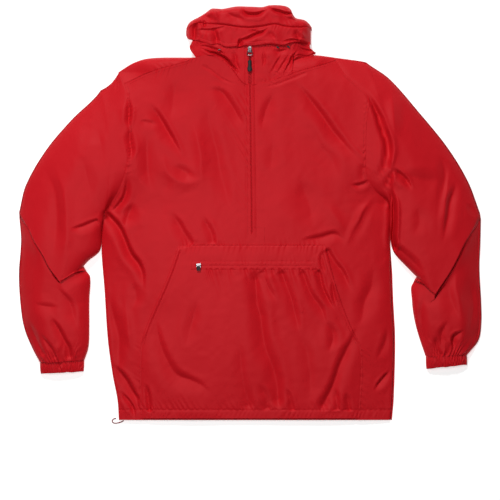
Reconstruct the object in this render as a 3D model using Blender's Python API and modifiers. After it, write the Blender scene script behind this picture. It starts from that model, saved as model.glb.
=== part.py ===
"""A hooded half-zip anorak pullover of thin nylon, laid flat on its back, with the hood heaped above the neck."""

import math

import bmesh
import bpy
from mathutils import Vector

# Metres. X runs across the garment, Y from the hem (0) up to the hood, Z up from the surface.
# The empty made last moves all of it, so that the middle of its flat outline is the world's origin.
wall = 0.0015
seam_gap = 0.0003
armhole_gap = 0.0015  # each side of the armhole line, so that straight facets clear a curved seam
garment_middle = (0.00025, 0.434)  # middle of the outline, cord loop left out
tube_squareness = 2.4
tube_belly = 0.25  # height of a sleeve's widest line, as a share of its full height
body_squareness = 4.0
slot_width = 0.005
front_slot_foot = 0.388
zip_foot = 0.374
zip_head = 0.778
tape_width = 0.026
tape_thickness = 0.001
pouch_lift = 0.0018  # room under the pouch, so that its flat facets clear the front's
pocket_zip_y = 0.3245
pocket_zip_left = -0.114
pocket_zip_right = 0.131
roll_reach = 0.012

cloth_red = (0.565, 0.021, 0.030, 1.0)
tape_red = (0.420, 0.012, 0.020, 1.0)
steel = (0.62, 0.62, 0.63, 1.0)
rubber_black = (0.012, 0.012, 0.013, 1.0)

# Side and armhole lines of the laid body, from hem to shoulder: y, x.
left_side = [
    (0.004, -0.274), (0.045, -0.277), (0.097, -0.287), (0.170, -0.297), (0.274, -0.304), (0.355, -0.310),
    (0.434, -0.308), (0.444, -0.297), (0.500, -0.266), (0.567, -0.252), (0.648, -0.255), (0.690, -0.258),
    (0.727, -0.275),
]
right_side = [
    (0.000, 0.292), (0.045, 0.296), (0.170, 0.299), (0.253, 0.295), (0.315, 0.293), (0.357, 0.293),
    (0.454, 0.291), (0.479, 0.262), (0.513, 0.243), (0.565, 0.241), (0.627, 0.243), (0.673, 0.248),
    (0.694, 0.229), (0.723, 0.198), (0.758, 0.177),
]
left_underarm_y = 0.434
right_underarm_y = 0.454
left_shoulder_y = 0.727
right_shoulder_y = 0.758

# Top edge of the front: shoulder seam, neck seam, shoulder seam: x, y.
front_top = [
    (-0.275, 0.700), (-0.260, 0.704), (-0.208, 0.727), (-0.135, 0.748), (-0.110, 0.758), (-0.083, 0.763),
    (-0.058, 0.751), (-0.037, 0.731), (-0.021, 0.711), (-0.006, 0.702), (0.014, 0.702), (0.052, 0.711),
    (0.104, 0.729), (0.162, 0.746), (0.180, 0.754),
]
# Height of the upper layer above the surface: y, crown (at the centre line).
crown_line = [
    (0.000, 0.0110), (0.060, 0.0160), (0.160, 0.0230), (0.300, 0.0270), (0.420, 0.0290), (0.560, 0.0310),
    (0.700, 0.0340), (0.790, 0.0365),
]
# Largest soft folds of the body: from (x, y), to (x, y), half width, depth (below zero is a ridge).
body_folds = [
    ("left chest", (-0.208, 0.665), (-0.148, 0.540), 0.020, 0.0050),
    ("left centre", (-0.088, 0.655), (-0.030, 0.420), 0.026, 0.0030),
    ("right chest", (0.104, 0.690), (0.225, 0.540), 0.022, 0.0050),
    ("left underarm", (-0.285, 0.425), (-0.218, 0.275), 0.018, 0.0045),
    ("pouch centre", (0.006, 0.325), (0.066, 0.080), 0.022, 0.0030),
    ("pouch right", (0.215, 0.180), (0.156, 0.055), 0.020, 0.0035),
]
# Sleeve sections from armhole to cuff: outer (x, y), inner (x, y), bow of the line between (x, y), height.
left_sleeve_sections = [
    ((-0.2755, 0.727), (-0.3095, 0.434), (0.000, 0.000), 0.038),
    ((-0.3120, 0.690), (-0.3135, 0.410), (0.022, 0.000), 0.040),
    ((-0.3740, 0.627), (-0.3180, 0.382), (0.000, -0.004), 0.041),
    ((-0.4260, 0.565), (-0.3240, 0.352), (0.000, -0.030), 0.041),
    ((-0.4680, 0.492), (-0.3370, 0.334), (0.012, -0.062), 0.040),
    ((-0.4820, 0.436), (-0.3470, 0.323), (0.020, -0.092), 0.038),
    ((-0.4815, 0.424), (-0.3415, 0.313), (0.020, -0.092), 0.030),
    ((-0.4780, 0.378), (-0.3330, 0.299), (0.012, -0.076), 0.031),
    ((-0.4825, 0.305), (-0.3350, 0.253), (0.000, -0.034), 0.033),
    ((-0.4780, 0.232), (-0.3350, 0.200), (0.000, -0.008), 0.033),
    ((-0.4700, 0.190), (-0.3355, 0.170), (0.000, 0.000), 0.031),
    ((-0.4530, 0.149), (-0.3380, 0.149), (0.000, 0.000), 0.026),
    ((-0.4390, 0.1225), (-0.3450, 0.1275), (0.000, 0.000), 0.020),
]
right_sleeve_sections = [
    ((0.1775, 0.758), (0.2925, 0.454), (0.000, 0.000), 0.038),
    ((0.2420, 0.749), (0.2960, 0.430), (0.022, 0.000), 0.040),
    ((0.2910, 0.714), (0.2975, 0.405), (0.010, 0.000), 0.041),
    ((0.3520, 0.645), (0.2995, 0.378), (0.000, -0.012), 0.041),
    ((0.4120, 0.571), (0.3080, 0.345), (-0.008, -0.038), 0.041),
    ((0.4560, 0.498), (0.3320, 0.316), (-0.018, -0.075), 0.040),
    ((0.4800, 0.434), (0.3470, 0.301), (-0.026, -0.104), 0.038),
    ((0.4820, 0.421), (0.3415, 0.291), (-0.026, -0.104), 0.030),
    ((0.4810, 0.374), (0.3360, 0.278), (-0.018, -0.088), 0.031),
    ((0.4790, 0.318), (0.3375, 0.254), (-0.006, -0.062), 0.033),
    ((0.4825, 0.250), (0.3400, 0.228), (0.000, -0.030), 0.033),
    ((0.4830, 0.205), (0.3460, 0.198), (0.000, -0.010), 0.031),
    ((0.4770, 0.168), (0.3550, 0.168), (0.000, 0.000), 0.026),
    ((0.4535, 0.1375), (0.3660, 0.1355), (0.000, 0.000), 0.020),
]
# Cuff sections, from the sleeve to the open end: outer (x, y), inner (x, y), bow (x, y), height.
left_cuff_sections = [
    ((-0.4385, 0.1205), (-0.3455, 0.1255), (0.0, 0.0), 0.018),
    ((-0.4380, 0.1100), (-0.3462, 0.1145), (0.0, 0.0), 0.017),
    ((-0.4370, 0.0990), (-0.3470, 0.1030), (0.0, 0.0), 0.016),
]
right_cuff_sections = [
    ((0.4530, 0.1355), (0.3665, 0.1335), (0.0, 0.0), 0.018),
    ((0.4530, 0.1265), (0.3672, 0.1215), (0.0, 0.0), 0.017),
    ((0.4530, 0.1170), (0.3680, 0.1090), (0.0, 0.0), 0.016),
]
cuff_wall = 0.0028

# Pouch pocket: side lines from hem to top: y, x.
pouch_left = [(0.006, -0.229), (0.149, -0.229), (0.197, -0.216), (0.296, -0.173), (0.371, -0.146)]
pouch_right = [(0.006, 0.229), (0.145, 0.233), (0.201, 0.208), (0.274, 0.181), (0.367, 0.156)]

# Outline rolls of the shoulders, neck to armhole, and the seams they run to: share, x, y.
left_roll = [(0.0, -0.118, 0.758), (0.5, -0.205, 0.757), (0.8, -0.243, 0.747), (1.0, -0.2748, 0.727)]
left_seam = [(0.0, -0.114, 0.7585), (0.4, -0.160, 0.7430), (0.7, -0.208, 0.7285), (1.0, -0.2570, 0.7060)]
right_roll = [(0.0, 0.098, 0.764), (0.5, 0.140, 0.763), (1.0, 0.1768, 0.758)]
right_seam = [(0.0, 0.054, 0.7128), (0.4, 0.104, 0.7305), (0.8, 0.155, 0.7455), (1.0, 0.1800, 0.7550)]

# Hood lines above the neck: x, y.
face_low = [
    (-0.118, 0.792), (-0.092, 0.785), (-0.079, 0.781), (-0.050, 0.777), (0.000, 0.779), (0.042, 0.783),
    (0.083, 0.785), (0.104, 0.789), (0.127, 0.793),
]
face_high = [
    (-0.118, 0.820), (-0.052, 0.824), (-0.010, 0.817), (0.025, 0.821), (0.052, 0.825), (0.104, 0.820),
    (0.127, 0.823),
]
# Crown heap: x, front edge y, back edge y, height.
crown_sections = [
    (-0.131, 0.797, 0.824, 0.012), (-0.124, 0.778, 0.832, 0.026), (-0.104, 0.768, 0.843, 0.036),
    (-0.081, 0.767, 0.859, 0.041), (-0.040, 0.767, 0.862, 0.044), (0.000, 0.767, 0.863, 0.045),
    (0.042, 0.769, 0.866, 0.045), (0.073, 0.771, 0.864, 0.043), (0.087, 0.772, 0.856, 0.040),
    (0.098, 0.774, 0.839, 0.037), (0.116, 0.776, 0.834, 0.031), (0.128, 0.785, 0.818, 0.016),
]
# The neck seam of the hood's sides, and their outer ends: x, y.
left_neck = [(-0.118, 0.763), (-0.083, 0.7665), (-0.058, 0.7555), (-0.037, 0.7365), (-0.021, 0.7170),
             (-0.004, 0.7055)]
right_neck = [(0.004, 0.7055), (0.014, 0.7055), (0.050, 0.7150), (0.071, 0.7365), (0.085, 0.7525),
              (0.099, 0.7690), (0.125, 0.776)]

parts = bpy.data.collections.new("anorak_pullover")


def clear_scene():
    for thing in list(bpy.data.objects):
        bpy.data.objects.remove(thing, do_unlink=True)
    bpy.context.scene.collection.children.link(parts)


def material(name, colour, roughness, metallic=0.0):
    made = bpy.data.materials.get(name) or bpy.data.materials.new(name)
    made.use_nodes = True
    shader = made.node_tree.nodes["Principled BSDF"]
    shader.inputs["Base Color"].default_value = colour
    shader.inputs["Roughness"].default_value = roughness
    shader.inputs["Metallic"].default_value = metallic
    return made


def smooth(pairs):
    """The smooth function through (place, value) pairs, held level past both ends."""
    last = len(pairs) - 1

    def slope(i):
        before, after = pairs[max(i - 1, 0)], pairs[min(i + 1, last)]
        return (after[1] - before[1]) / (after[0] - before[0])

    def value(place):
        place = min(max(place, pairs[0][0]), pairs[-1][0])
        i = 0
        while i < last - 1 and place > pairs[i + 1][0]:
            i += 1
        (start, first), (end, second) = pairs[i], pairs[i + 1]
        span = end - start
        t = (place - start) / span
        return (
            first * (2 * t**3 - 3 * t**2 + 1)
            + slope(i) * span * (t**3 - 2 * t**2 + t)
            + second * (3 * t**2 - 2 * t**3)
            + slope(i + 1) * span * (t**3 - t**2)
        )

    return value


top_y = smooth(front_top)
crown_z = smooth(crown_line)
face_low_y = smooth(face_low)
face_high_y = smooth(face_high)


def spread(count):
    """Shares from 0 to 1 that crowd towards both ends."""
    return [(1 - math.cos(math.pi * i / count)) / 2 for i in range(count + 1)]


def side_line(pairs, underarm_y, shoulder_y):
    """The body's side: smooth below the underarm, and above it straight between the sleeve's own points."""
    curve = smooth(pairs)
    corners = [shoulder_y - t * (shoulder_y - underarm_y) for t in reversed(sleeve_shape)]

    def value(y):
        if not underarm_y < y < shoulder_y:
            return curve(y)
        i = max(k for k in range(len(corners) - 1) if corners[k] <= y)
        share = (y - corners[i]) / (corners[i + 1] - corners[i])
        return curve(corners[i]) * (1 - share) + curve(corners[i + 1]) * share

    return value


sleeve_shape = spread(11)
left_x = side_line(left_side, left_underarm_y, left_shoulder_y)
right_x = side_line(right_side, right_underarm_y, right_shoulder_y)


def eased(t):
    t = min(max(t, 0.0), 1.0)
    return t * t * (3 - 2 * t)


def tube_top(t, height):
    """Height of a lying tube's upper layer at share t across it."""
    round_part = (1 - min(abs(2 * t - 1), 1.0) ** tube_squareness) ** 0.5
    return height * (tube_belly + (1 - tube_belly) * round_part)


def tube_foot(t, height):
    return height * tube_belly * abs(2 * t - 1) ** 10


def edge_height(y, underarm_y, shoulder_y, height):
    """Height of the body's upper layer at its side: low below the underarm, the sleeve's own above it."""
    if y >= underarm_y:
        return tube_top((shoulder_y - y) / (shoulder_y - underarm_y), height)
    meeting = tube_top(1.0, height)
    low = 0.0042
    return low + (meeting - low) * eased(1 - (underarm_y - y) / 0.07)


def fold_depth(x, y):
    total = 0.0
    for _, start, end, half_width, depth in body_folds:
        run = Vector((end[0] - start[0], end[1] - start[1]))
        offset = Vector((x - start[0], y - start[1]))
        along = offset.dot(run) / run.length_squared
        if not 0.0 < along < 1.0:
            continue
        across = (offset - run * along).length / half_width
        total += depth * math.exp(-across * across * 2) * math.sin(math.pi * along) ** 0.7
    return total


def body_height(x, y):
    """Height of the body's upper face above the surface it lies on."""
    left, right = left_x(y), right_x(y)
    across = min(max((x - left) / (right - left), 0.0), 1.0)
    left_end = edge_height(y, left_underarm_y, left_shoulder_y, left_sleeve_sections[0][3])
    right_end = edge_height(y, right_underarm_y, right_shoulder_y, right_sleeve_sections[0][3])
    ends = left_end + (right_end - left_end) * across
    open_side = 1 - eased((y - left_underarm_y + 0.02) / 0.08)
    bulge = 1 - abs(2 * across - 1) ** body_squareness
    bulge = bulge ** (1 - 0.5 * open_side)
    return ends + (crown_z(y) - ends) * bulge - fold_depth(x, y) * bulge


def sheet(name, rows, colour_name, thickness=wall, up=True, skip=None):
    """A wall of even thickness under the grid of points given in rows, which may hold None."""
    mesh = bmesh.new()
    grid = [[mesh.verts.new(p) if p is not None else None for p in row] for row in rows]
    for j in range(len(grid) - 1):
        for i in range(len(grid[j]) - 1):
            corners = (grid[j][i], grid[j][i + 1], grid[j + 1][i + 1], grid[j + 1][i])
            if None in corners or (skip and skip(i, j)):
                continue
            mesh.faces.new(corners)
    loose = [v for v in mesh.verts if not v.link_faces]
    bmesh.ops.delete(mesh, geom=loose, context="VERTS")
    mesh.normal_update()
    facing_up = sum(face.normal.z * face.calc_area() for face in mesh.faces) > 0
    if facing_up != up:
        bmesh.ops.reverse_faces(mesh, faces=mesh.faces)
    made = finish_mesh(name, mesh, colour_name)
    add_wall(made, thickness)
    return made


def add_wall(made, thickness):
    shell = made.modifiers.new("wall", "SOLIDIFY")
    shell.thickness = thickness
    shell.offset = -1.0
    shell.use_even_offset = False


def finish_mesh(name, mesh, colour_name):
    data = bpy.data.meshes.new(name)
    mesh.to_mesh(data)
    mesh.free()
    data.materials.append(materials[colour_name])
    data.shade_smooth()
    made = bpy.data.objects.new(name, data)
    parts.objects.link(made)
    return made


def ring_tube(name, rings, colour_name, thickness):
    """An open tube through closed rings of points, its wall inside them."""
    mesh = bmesh.new()
    loops = [[mesh.verts.new(p) for p in ring] for ring in rings]
    for before, after in zip(loops, loops[1:]):
        for i in range(len(before)):
            k = (i + 1) % len(before)
            mesh.faces.new((before[i], before[k], after[k], after[i]))
    bmesh.ops.recalc_face_normals(mesh, faces=mesh.faces)
    top = max(mesh.faces, key=lambda face: face.calc_center_median().z)
    if top.normal.z < 0:
        bmesh.ops.reverse_faces(mesh, faces=mesh.faces)
    made = finish_mesh(name, mesh, colour_name)
    add_wall(made, thickness)
    return made


def sleeve_ring(section, shape, armhole=None):
    """One closed ring of a lying sleeve: its upper layer outer to inner, then its lower layer back."""
    outer, inner, bow, height = section

    def plan(t):
        y = outer[1] + t * (inner[1] - outer[1]) + bow[1] * math.sin(math.pi * t)
        if armhole:
            return armhole(y), y
        return outer[0] + t * (inner[0] - outer[0]) + bow[0] * math.sin(math.pi * t), y

    upper = [(*plan(t), tube_top(t, height)) for t in shape]
    lower = [(*plan(t), tube_foot(t, height)) for t in reversed(shape[1:-1])]
    return upper + lower


def build_sleeve(name, sections, line, way):
    """way is -1 for the sleeve at -X and 1 for the one at +X."""

    def armhole(y):
        return line(y) + way * armhole_gap

    rings = [sleeve_ring(sections[0], sleeve_shape, armhole)]
    rings += [sleeve_ring(section, sleeve_shape) for section in sections[1:]]
    return ring_tube(name, rings, "nylon_taffeta", wall)


def build_cuff(name, sections):
    shape = spread(8)
    rings = [sleeve_ring(section, shape) for section in sections]
    return ring_tube(name, rings, "nylon_taffeta", cuff_wall)


def centre_x(y):
    """The front zip leans a little across the body."""
    return 0.004 * (1 - eased((y - zip_foot) / (zip_head - zip_foot)))


def build_front():
    """Left half and right half of one panel, with the zip's slot between them above its foot."""
    half = 12
    shares = spread(2 * half)[: half + 1]
    shares = [s / shares[-1] for s in shares]
    levels = [0.0, 0.03, 0.07, 0.12, 0.17, 0.22, 0.27, 0.32, 0.37, 0.42, 0.47, 0.505, 0.54, 0.57, 0.60, 0.64,
              0.68, 0.72, 0.76, 0.80, 0.84, 0.88, 0.92, 0.96, 1.0]
    hem_y = 0.002

    def point(side, share, level):
        # The column's own top is found where the column meets the top edge.
        y = hem_y + (0.73 - hem_y) * level
        for _ in range(6):
            edge = left_x(y) + armhole_gap if side < 0 else right_x(y) - armhole_gap
            middle = centre_x(y) + side * slot_width / 2
            x = edge + (middle - edge) * share
            y = hem_y + (top_y(x) - 0.0012 - hem_y) * level
        return x, y, body_height(x, y)

    rows = []
    for level in levels:
        left = [point(-1, share, level) for share in shares]
        right = [point(1, share, level) for share in reversed(shares)]
        rows.append(left + right)
    slot_row = next(j for j, row in enumerate(rows) if row[half][1] > front_slot_foot)
    return sheet("front", rows, "nylon_taffeta", skip=lambda i, j: i == half and j >= slot_row)


def table_point(table, share):
    at_x = smooth([(row[0], row[1]) for row in table])
    at_y = smooth([(row[0], row[2]) for row in table])
    return at_x(share), at_y(share)


def build_back():
    """Flat under the front, then rolled over each shoulder to the forward seam."""
    columns = [("left", share) for share in (1.0, 0.97, 0.85, 0.65, 0.45, 0.22, 0.0)]
    columns += [("neck", share) for share in (0.2, 0.4, 0.6, 0.8)]
    columns += [("right", share) for share in (0.0, 0.3, 0.6, 0.9, 1.0)]
    levels = [0.0, 0.05, 0.12, 0.22, 0.34, 0.46, 0.54, 0.60, 0.64, 0.68, 0.73, 0.78, 0.83, 0.88, 0.92, 0.96, 1.0]
    rolls = {"left": (left_roll, left_seam), "right": (right_roll, right_seam)}
    neck_y = 0.752
    grid = []
    for kind, share in columns:
        if kind == "neck":
            turn_x = left_roll[0][1] + (right_roll[0][1] - left_roll[0][1]) * share
            turn_y = neck_y
        else:
            turn_x, turn_y = table_point(rolls[kind][0], share)
            turn_y -= roll_reach
        left, right = left_x(turn_y), right_x(turn_y)
        across = min(max((turn_x - left) / (right - left), 0.0), 1.0)
        if kind != "neck" and share == 1.0:
            across = 0.0 if kind == "left" else 1.0
        column = []
        for level in levels:
            y = 0.002 + (turn_y - 0.002) * level
            low = left_x(y) + armhole_gap
            high = right_x(y) - armhole_gap + 0.004 * (1 - eased((y - 0.30) / 0.08))
            column.append((low + (high - low) * across, y, 0.0))
        if kind == "neck":
            column += [None] * 6
        else:
            column += shoulder_wrap(kind, share, rolls[kind])
        grid.append(column)
    rows = [list(row) for row in zip(*grid)]
    return sheet("back", rows, "nylon_taffeta", up=False)


def shoulder_wrap(kind, share, lines):
    """The column's points from the outline, over the roll, to the shoulder seam."""
    roll_x, roll_y = table_point(lines[0], share)
    seam_x, seam_y = table_point(lines[1], share)
    top = body_height(seam_x, seam_y)
    underarm_y, shoulder_y = (
        (left_underarm_y, left_shoulder_y) if kind == "left" else (right_underarm_y, right_shoulder_y)
    )
    arm_height = left_sleeve_sections[0][3]
    at_arm = eased((share - 0.6) / 0.4)
    line = left_x if kind == "left" else right_x
    inwards = 1 if kind == "left" else -1
    points = []
    for f in (0.0, 0.08, 0.25, 0.5, 0.75, 1.0):
        x = roll_x + (seam_x - roll_x) * f
        y = roll_y + (seam_y - roll_y) * f
        if share > 0.99:
            x = line(y) + inwards * armhole_gap
        plain = top * (tube_belly + (1 - tube_belly) * (1 - (1 - f) ** tube_squareness) ** 0.5)
        of_tube = tube_top((shoulder_y - y) / (shoulder_y - underarm_y), arm_height)
        points.append((x, y, plain + (of_tube - plain) * at_arm))
    return points


def build_pouch():
    low_x, high_x = smooth(pouch_left), smooth(pouch_right)
    half_slot = 0.002
    levels = [0.006, 0.035, 0.07, 0.105, 0.14, 0.175, 0.21, 0.245, 0.28, 0.302, pocket_zip_y - half_slot,
              pocket_zip_y + half_slot, 0.348, 0.370]
    start = (pocket_zip_left - low_x(pocket_zip_y)) / (high_x(pocket_zip_y) - low_x(pocket_zip_y))
    end = (pocket_zip_right - low_x(pocket_zip_y)) / (high_x(pocket_zip_y) - low_x(pocket_zip_y))
    inner = 11
    shares = [0.0, start * 0.33, start * 0.66]
    shares += [start + (end - start) * i / inner for i in range(inner + 1)]
    shares += [end + (1 - end) * 0.33, end + (1 - end) * 0.66, 1.0]
    slot_row = levels.index(pocket_zip_y - half_slot)
    rows = []
    for y in levels:
        xs = [low_x(y) + (high_x(y) - low_x(y)) * share for share in shares]
        rows.append([(x, y, body_height(x, y) + pouch_rise(x, y)) for x in xs])
    return sheet(
        "pouch_pocket", rows, "nylon_taffeta", skip=lambda i, j: j == slot_row and 3 <= i < 3 + inner
    )


def pouch_rise(x, y):
    """The pouch's upper face above the front's, room for its zip tape included."""
    near_zip = eased(1 - abs(y - pocket_zip_y) / 0.05)
    near_zip *= eased((x - pocket_zip_left + 0.05) / 0.03) * eased((pocket_zip_right + 0.05 - x) / 0.03)
    return wall + pouch_lift + (tape_thickness + 2 * seam_gap) * near_zip


def build_front_tape():
    rows = []
    count = 14
    for j in range(count + 1):
        y = zip_foot + (zip_head - zip_foot) * j / count
        xs = [centre_x(y) + tape_width * (i / 4 - 0.5) for i in range(5)]
        rows.append([(x, y, body_height(x, y) - wall - 2 * seam_gap) for x in xs])
    return sheet("front_zip_tape", rows, "zip_tape", tape_thickness)


def build_pocket_tape():
    rows = []
    half_tape = 0.010
    for y in (pocket_zip_y - half_tape, pocket_zip_y, pocket_zip_y + half_tape):
        count = 12
        first, last = pocket_zip_left - 0.008, pocket_zip_right + 0.008
        xs = [first + (last - first) * i / count for i in range(count + 1)]
        rows.append([(x, y, body_height(x, y) + tape_thickness + 2 * seam_gap) for x in xs])
    return sheet("pocket_zip_tape", rows, "zip_tape", tape_thickness)


def hood_height(x, y):
    """Height of the hood's sides: level with the front, and lower towards their outer ends."""
    level_x = min(max(x, -0.085), 0.085)
    return body_height(level_x, y) - 0.012 * eased((abs(x) - 0.085) / 0.04)


def build_hood_side(name, neck, way):
    """The hood's lower front on one side of the zip, from the neck seam up to the face opening."""
    neck_y = smooth(neck)
    count = 9
    first = centre_x(0.74) + way * slot_width / 2
    last = neck[0][0] if way < 0 else neck[-1][0]
    rows = []
    for level in (0.0, 0.2, 0.4, 0.6, 0.8, 1.0):
        row = []
        for i in range(count + 1):
            x = first + (last - first) * i / count
            low = neck_y(x)
            y = low + (face_low_y(x) - 0.001 - low) * level
            row.append((x, y, hood_height(x, y) + 0.001 * math.sin(math.pi * level)))
        rows.append(row)
    return sheet(name, rows, "nylon_taffeta")


def build_face_edge():
    """The turned edge of the face opening, one roll from side to side."""
    rows = []
    xs = [-0.118, -0.110, -0.085, -0.055, -0.025, 0.0, 0.025, 0.055, 0.085, 0.112, 0.124]
    for f in (0.0, 0.08, 0.25, 0.5, 0.75, 0.92, 1.0):
        row = []
        for x in xs:
            near_end = eased((abs(x) - 0.085) / 0.04)
            low_y, high_y = face_low_y(x) + 0.0015, face_high_y(x) - 0.001
            foot = 0.0305 - 0.012 * near_end
            peak = 0.0440 - 0.014 * near_end
            lift = math.sin(math.pi * (0.05 + 0.80 * f)) ** 0.6
            row.append((x, low_y + (high_y - low_y) * f, foot + (peak - foot) * lift))
        rows.append(row)
    return sheet("hood_face_edge", rows, "nylon_taffeta", wall + 0.0005)


def build_crown():
    """The rest of the hood, heaped: one rounded solid with layered edges."""
    mesh = bmesh.new()
    loops = []
    for x, front_y, back_y, height in crown_sections:
        crease_y = min(face_high_y(x), back_y - 0.012)
        ledge = height * 0.5
        profile = [
            (front_y + 0.004, 0.0), (front_y, 0.30 * ledge), (front_y + 0.003, 0.80 * ledge),
            (front_y + 0.010, ledge), (max(crease_y - 0.006, front_y + 0.012), ledge),
            (crease_y + 0.0005, 0.80 * height), (crease_y + 0.007, 0.97 * height),
            ((crease_y + back_y) / 2 + 0.004, height), (back_y - 0.007, 0.88 * height),
            (back_y, 0.66 * height), (back_y - 0.004, 0.50 * height), (back_y - 0.0005, 0.40 * height),
            (back_y - 0.0045, 0.24 * height), (back_y - 0.001, 0.14 * height), (back_y - 0.006, 0.0),
        ]
        loops.append([mesh.verts.new((x, y, z)) for y, z in profile])
    for before, after in zip(loops, loops[1:]):
        for i in range(len(before)):
            k = (i + 1) % len(before)
            mesh.faces.new((before[i], before[k], after[k], after[i]))
    mesh.faces.new(loops[0])
    mesh.faces.new(list(reversed(loops[-1])))
    bmesh.ops.triangulate(mesh, faces=[f for f in mesh.faces if len(f.verts) > 4])
    bmesh.ops.recalc_face_normals(mesh, faces=mesh.faces)
    return finish_mesh("hood_crown", mesh, "nylon_taffeta")


def wire(name, points, radius, colour_name, closed=False, resolution=2):
    """A round wire or cord along the given points."""
    data = bpy.data.curves.new(name, "CURVE")
    data.dimensions = "3D"
    data.bevel_depth = radius
    data.bevel_resolution = resolution
    data.use_fill_caps = True
    line = data.splines.new("POLY")
    line.points.add(len(points) - 1)
    for place, point in zip(line.points, points):
        place.co = (*point, 1.0)
    line.use_cyclic_u = closed
    data.materials.append(materials[colour_name])
    made = bpy.data.objects.new(name, data)
    parts.objects.link(made)
    return made


def curve_to_mesh(made):
    """The same wire as a closed mesh, so that it can be joined."""
    graph = bpy.context.evaluated_depsgraph_get()
    data = bpy.data.meshes.new_from_object(made.evaluated_get(graph))
    mesh = bmesh.new()
    mesh.from_mesh(data)
    bmesh.ops.remove_doubles(mesh, verts=mesh.verts, dist=0.00001)
    mesh.to_mesh(data)
    mesh.free()
    joined = bpy.data.objects.new(made.name + "_mesh", data)
    joined.matrix_world = made.matrix_world
    bpy.data.objects.remove(made, do_unlink=True)
    return joined


# Slider bodies: length along the zip, width, thickness, height of the bridge's bar above the body.
slider_length = 0.0105
slider_width = 0.0088
slider_thickness = 0.0026
bridge_height = 0.0036
bridge_radius = 0.0008


def build_slider(name, centre, along_x):
    """A bevelled body with an arched bridge along the zip; the pull hooks through the arch."""
    mesh = bmesh.new()
    bmesh.ops.create_cube(mesh, size=1.0)
    for v in mesh.verts:
        v.co = Vector((v.co.x * slider_length, v.co.y * slider_width, v.co.z * slider_thickness))
        if v.co.x < 0:
            v.co.y *= 0.72
    body = finish_mesh(name, mesh, "nickel")
    edge = body.modifiers.new("rounded", "BEVEL")
    edge.width = 0.0008
    edge.segments = 2
    reach = slider_length * 0.38
    foot, corner = slider_thickness / 2 - 0.0008, 0.0009
    bar = slider_thickness / 2 + bridge_height
    half_arch = [(reach, foot), (reach, bar - corner), (reach - 0.3 * corner, bar - 0.3 * corner),
                 (reach - corner, bar)]
    arch = [(x, 0.0, z) for x, z in half_arch] + [(-x, 0.0, z) for x, z in reversed(half_arch)]
    bridge = wire(name + "_bridge", arch, bridge_radius, "nickel")
    bpy.context.view_layer.update()
    bridge = curve_to_mesh(bridge)
    cutters.objects.link(bridge)
    bridge.hide_render = True
    bridge.display_type = "WIRE"
    join = body.modifiers.new("bridge", "BOOLEAN")
    join.operation = "UNION"
    join.object = bridge
    bridge.parent = body
    body.location = centre
    if not along_x:
        body.rotation_euler = (0.0, 0.0, math.pi / 2)
    return body


def lying_pull(name, hinge):
    """An empty on the pull's hinge line, which the pull's own pieces hang from."""
    pivot = bpy.data.objects.new(name, None)
    parts.objects.link(pivot)
    pivot.location = hinge
    return pivot


ring_radius = 0.0009
pull_droop = math.radians(1.5)
ring_drop = 0.0105
ring_top_half = 0.0042
ring_foot_half = 0.0058
cord_radius = 0.0009
cord_length = 0.0085
# Rubber grip: share of its length, half width.
grip_profile = [
    (0.00, 0.0012), (0.03, 0.0026), (0.10, 0.0038), (0.20, 0.0041), (0.30, 0.0036), (0.40, 0.0033),
    (0.50, 0.0036), (0.62, 0.0046), (0.75, 0.0052), (0.87, 0.0048), (0.96, 0.0033), (1.00, 0.0014),
]
grip_length = 0.0245
grip_thickness = 0.0046


def build_front_pull(hinge):
    """Ring, cord and grip lying down the zip from the slider's bridge; -Y is down the zip."""
    pivot = lying_pull("front_pull_pivot", hinge)
    corner = 0.0016
    outline = [
        (-ring_top_half + corner, 0.0, 0.0), (ring_top_half - corner, 0.0, 0.0),
        (ring_top_half, -corner, 0.0), (ring_foot_half, -ring_drop + corner, 0.0),
        (ring_foot_half - corner, -ring_drop, 0.0), (-ring_foot_half + corner, -ring_drop, 0.0),
        (-ring_foot_half, -ring_drop + corner, 0.0), (-ring_top_half, -corner, 0.0),
    ]
    ring = wire("front_pull_ring", outline, ring_radius, "nickel", closed=True)
    cord_top = -ring_drop - ring_radius - seam_gap
    cord = wire(
        "front_pull_cord",
        [(0.0, cord_top - cord_length * i / 3, 0.0) for i in range(4)],
        cord_radius, "cord_red",
    )
    mesh = bmesh.new()
    rings = []
    sides = 14
    grip_top = cord_top - cord_length - seam_gap
    for share, half in grip_profile:
        deep = min(half, grip_thickness / 2)
        y = grip_top - share * grip_length
        turn = [2 * math.pi * k / sides for k in range(sides)]
        rings.append([mesh.verts.new((half * math.cos(a), y, deep * math.sin(a))) for a in turn])
    for before, after in zip(rings, rings[1:]):
        for i in range(sides):
            k = (i + 1) % sides
            mesh.faces.new((before[i], before[k], after[k], after[i]))
    mesh.faces.new(rings[0])
    mesh.faces.new(list(reversed(rings[-1])))
    bmesh.ops.recalc_face_normals(mesh, faces=mesh.faces)
    grip = finish_mesh("front_pull_grip", mesh, "rubber")
    for piece in (ring, cord, grip):
        piece.parent = pivot
    return pivot


tab_length = 0.0115
tab_width = 0.0080
tab_thickness = 0.0012
tab_hole_radius = 0.0013
barrel_radius = 0.0018
barrel_bore = 0.0012
barrel_length = 0.0036
tab_droop = math.radians(25)


def tab_tool(name, radius, depth, location, along_x, tab, operation):
    """A cylinder that is joined to the tab or cut from it."""
    mesh = bmesh.new()
    bmesh.ops.create_cone(mesh, cap_ends=True, segments=20, radius1=radius, radius2=radius, depth=depth)
    data = bpy.data.meshes.new(name)
    mesh.to_mesh(data)
    mesh.free()
    tool = bpy.data.objects.new(name, data)
    cutters.objects.link(tool)
    tool.location = location
    if along_x:
        tool.rotation_euler = (0.0, math.pi / 2, 0.0)
    tool.hide_render = True
    tool.display_type = "WIRE"
    tool.parent = tab
    change = tab.modifiers.new(name, "BOOLEAN")
    change.operation = operation
    change.object = tool


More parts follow.
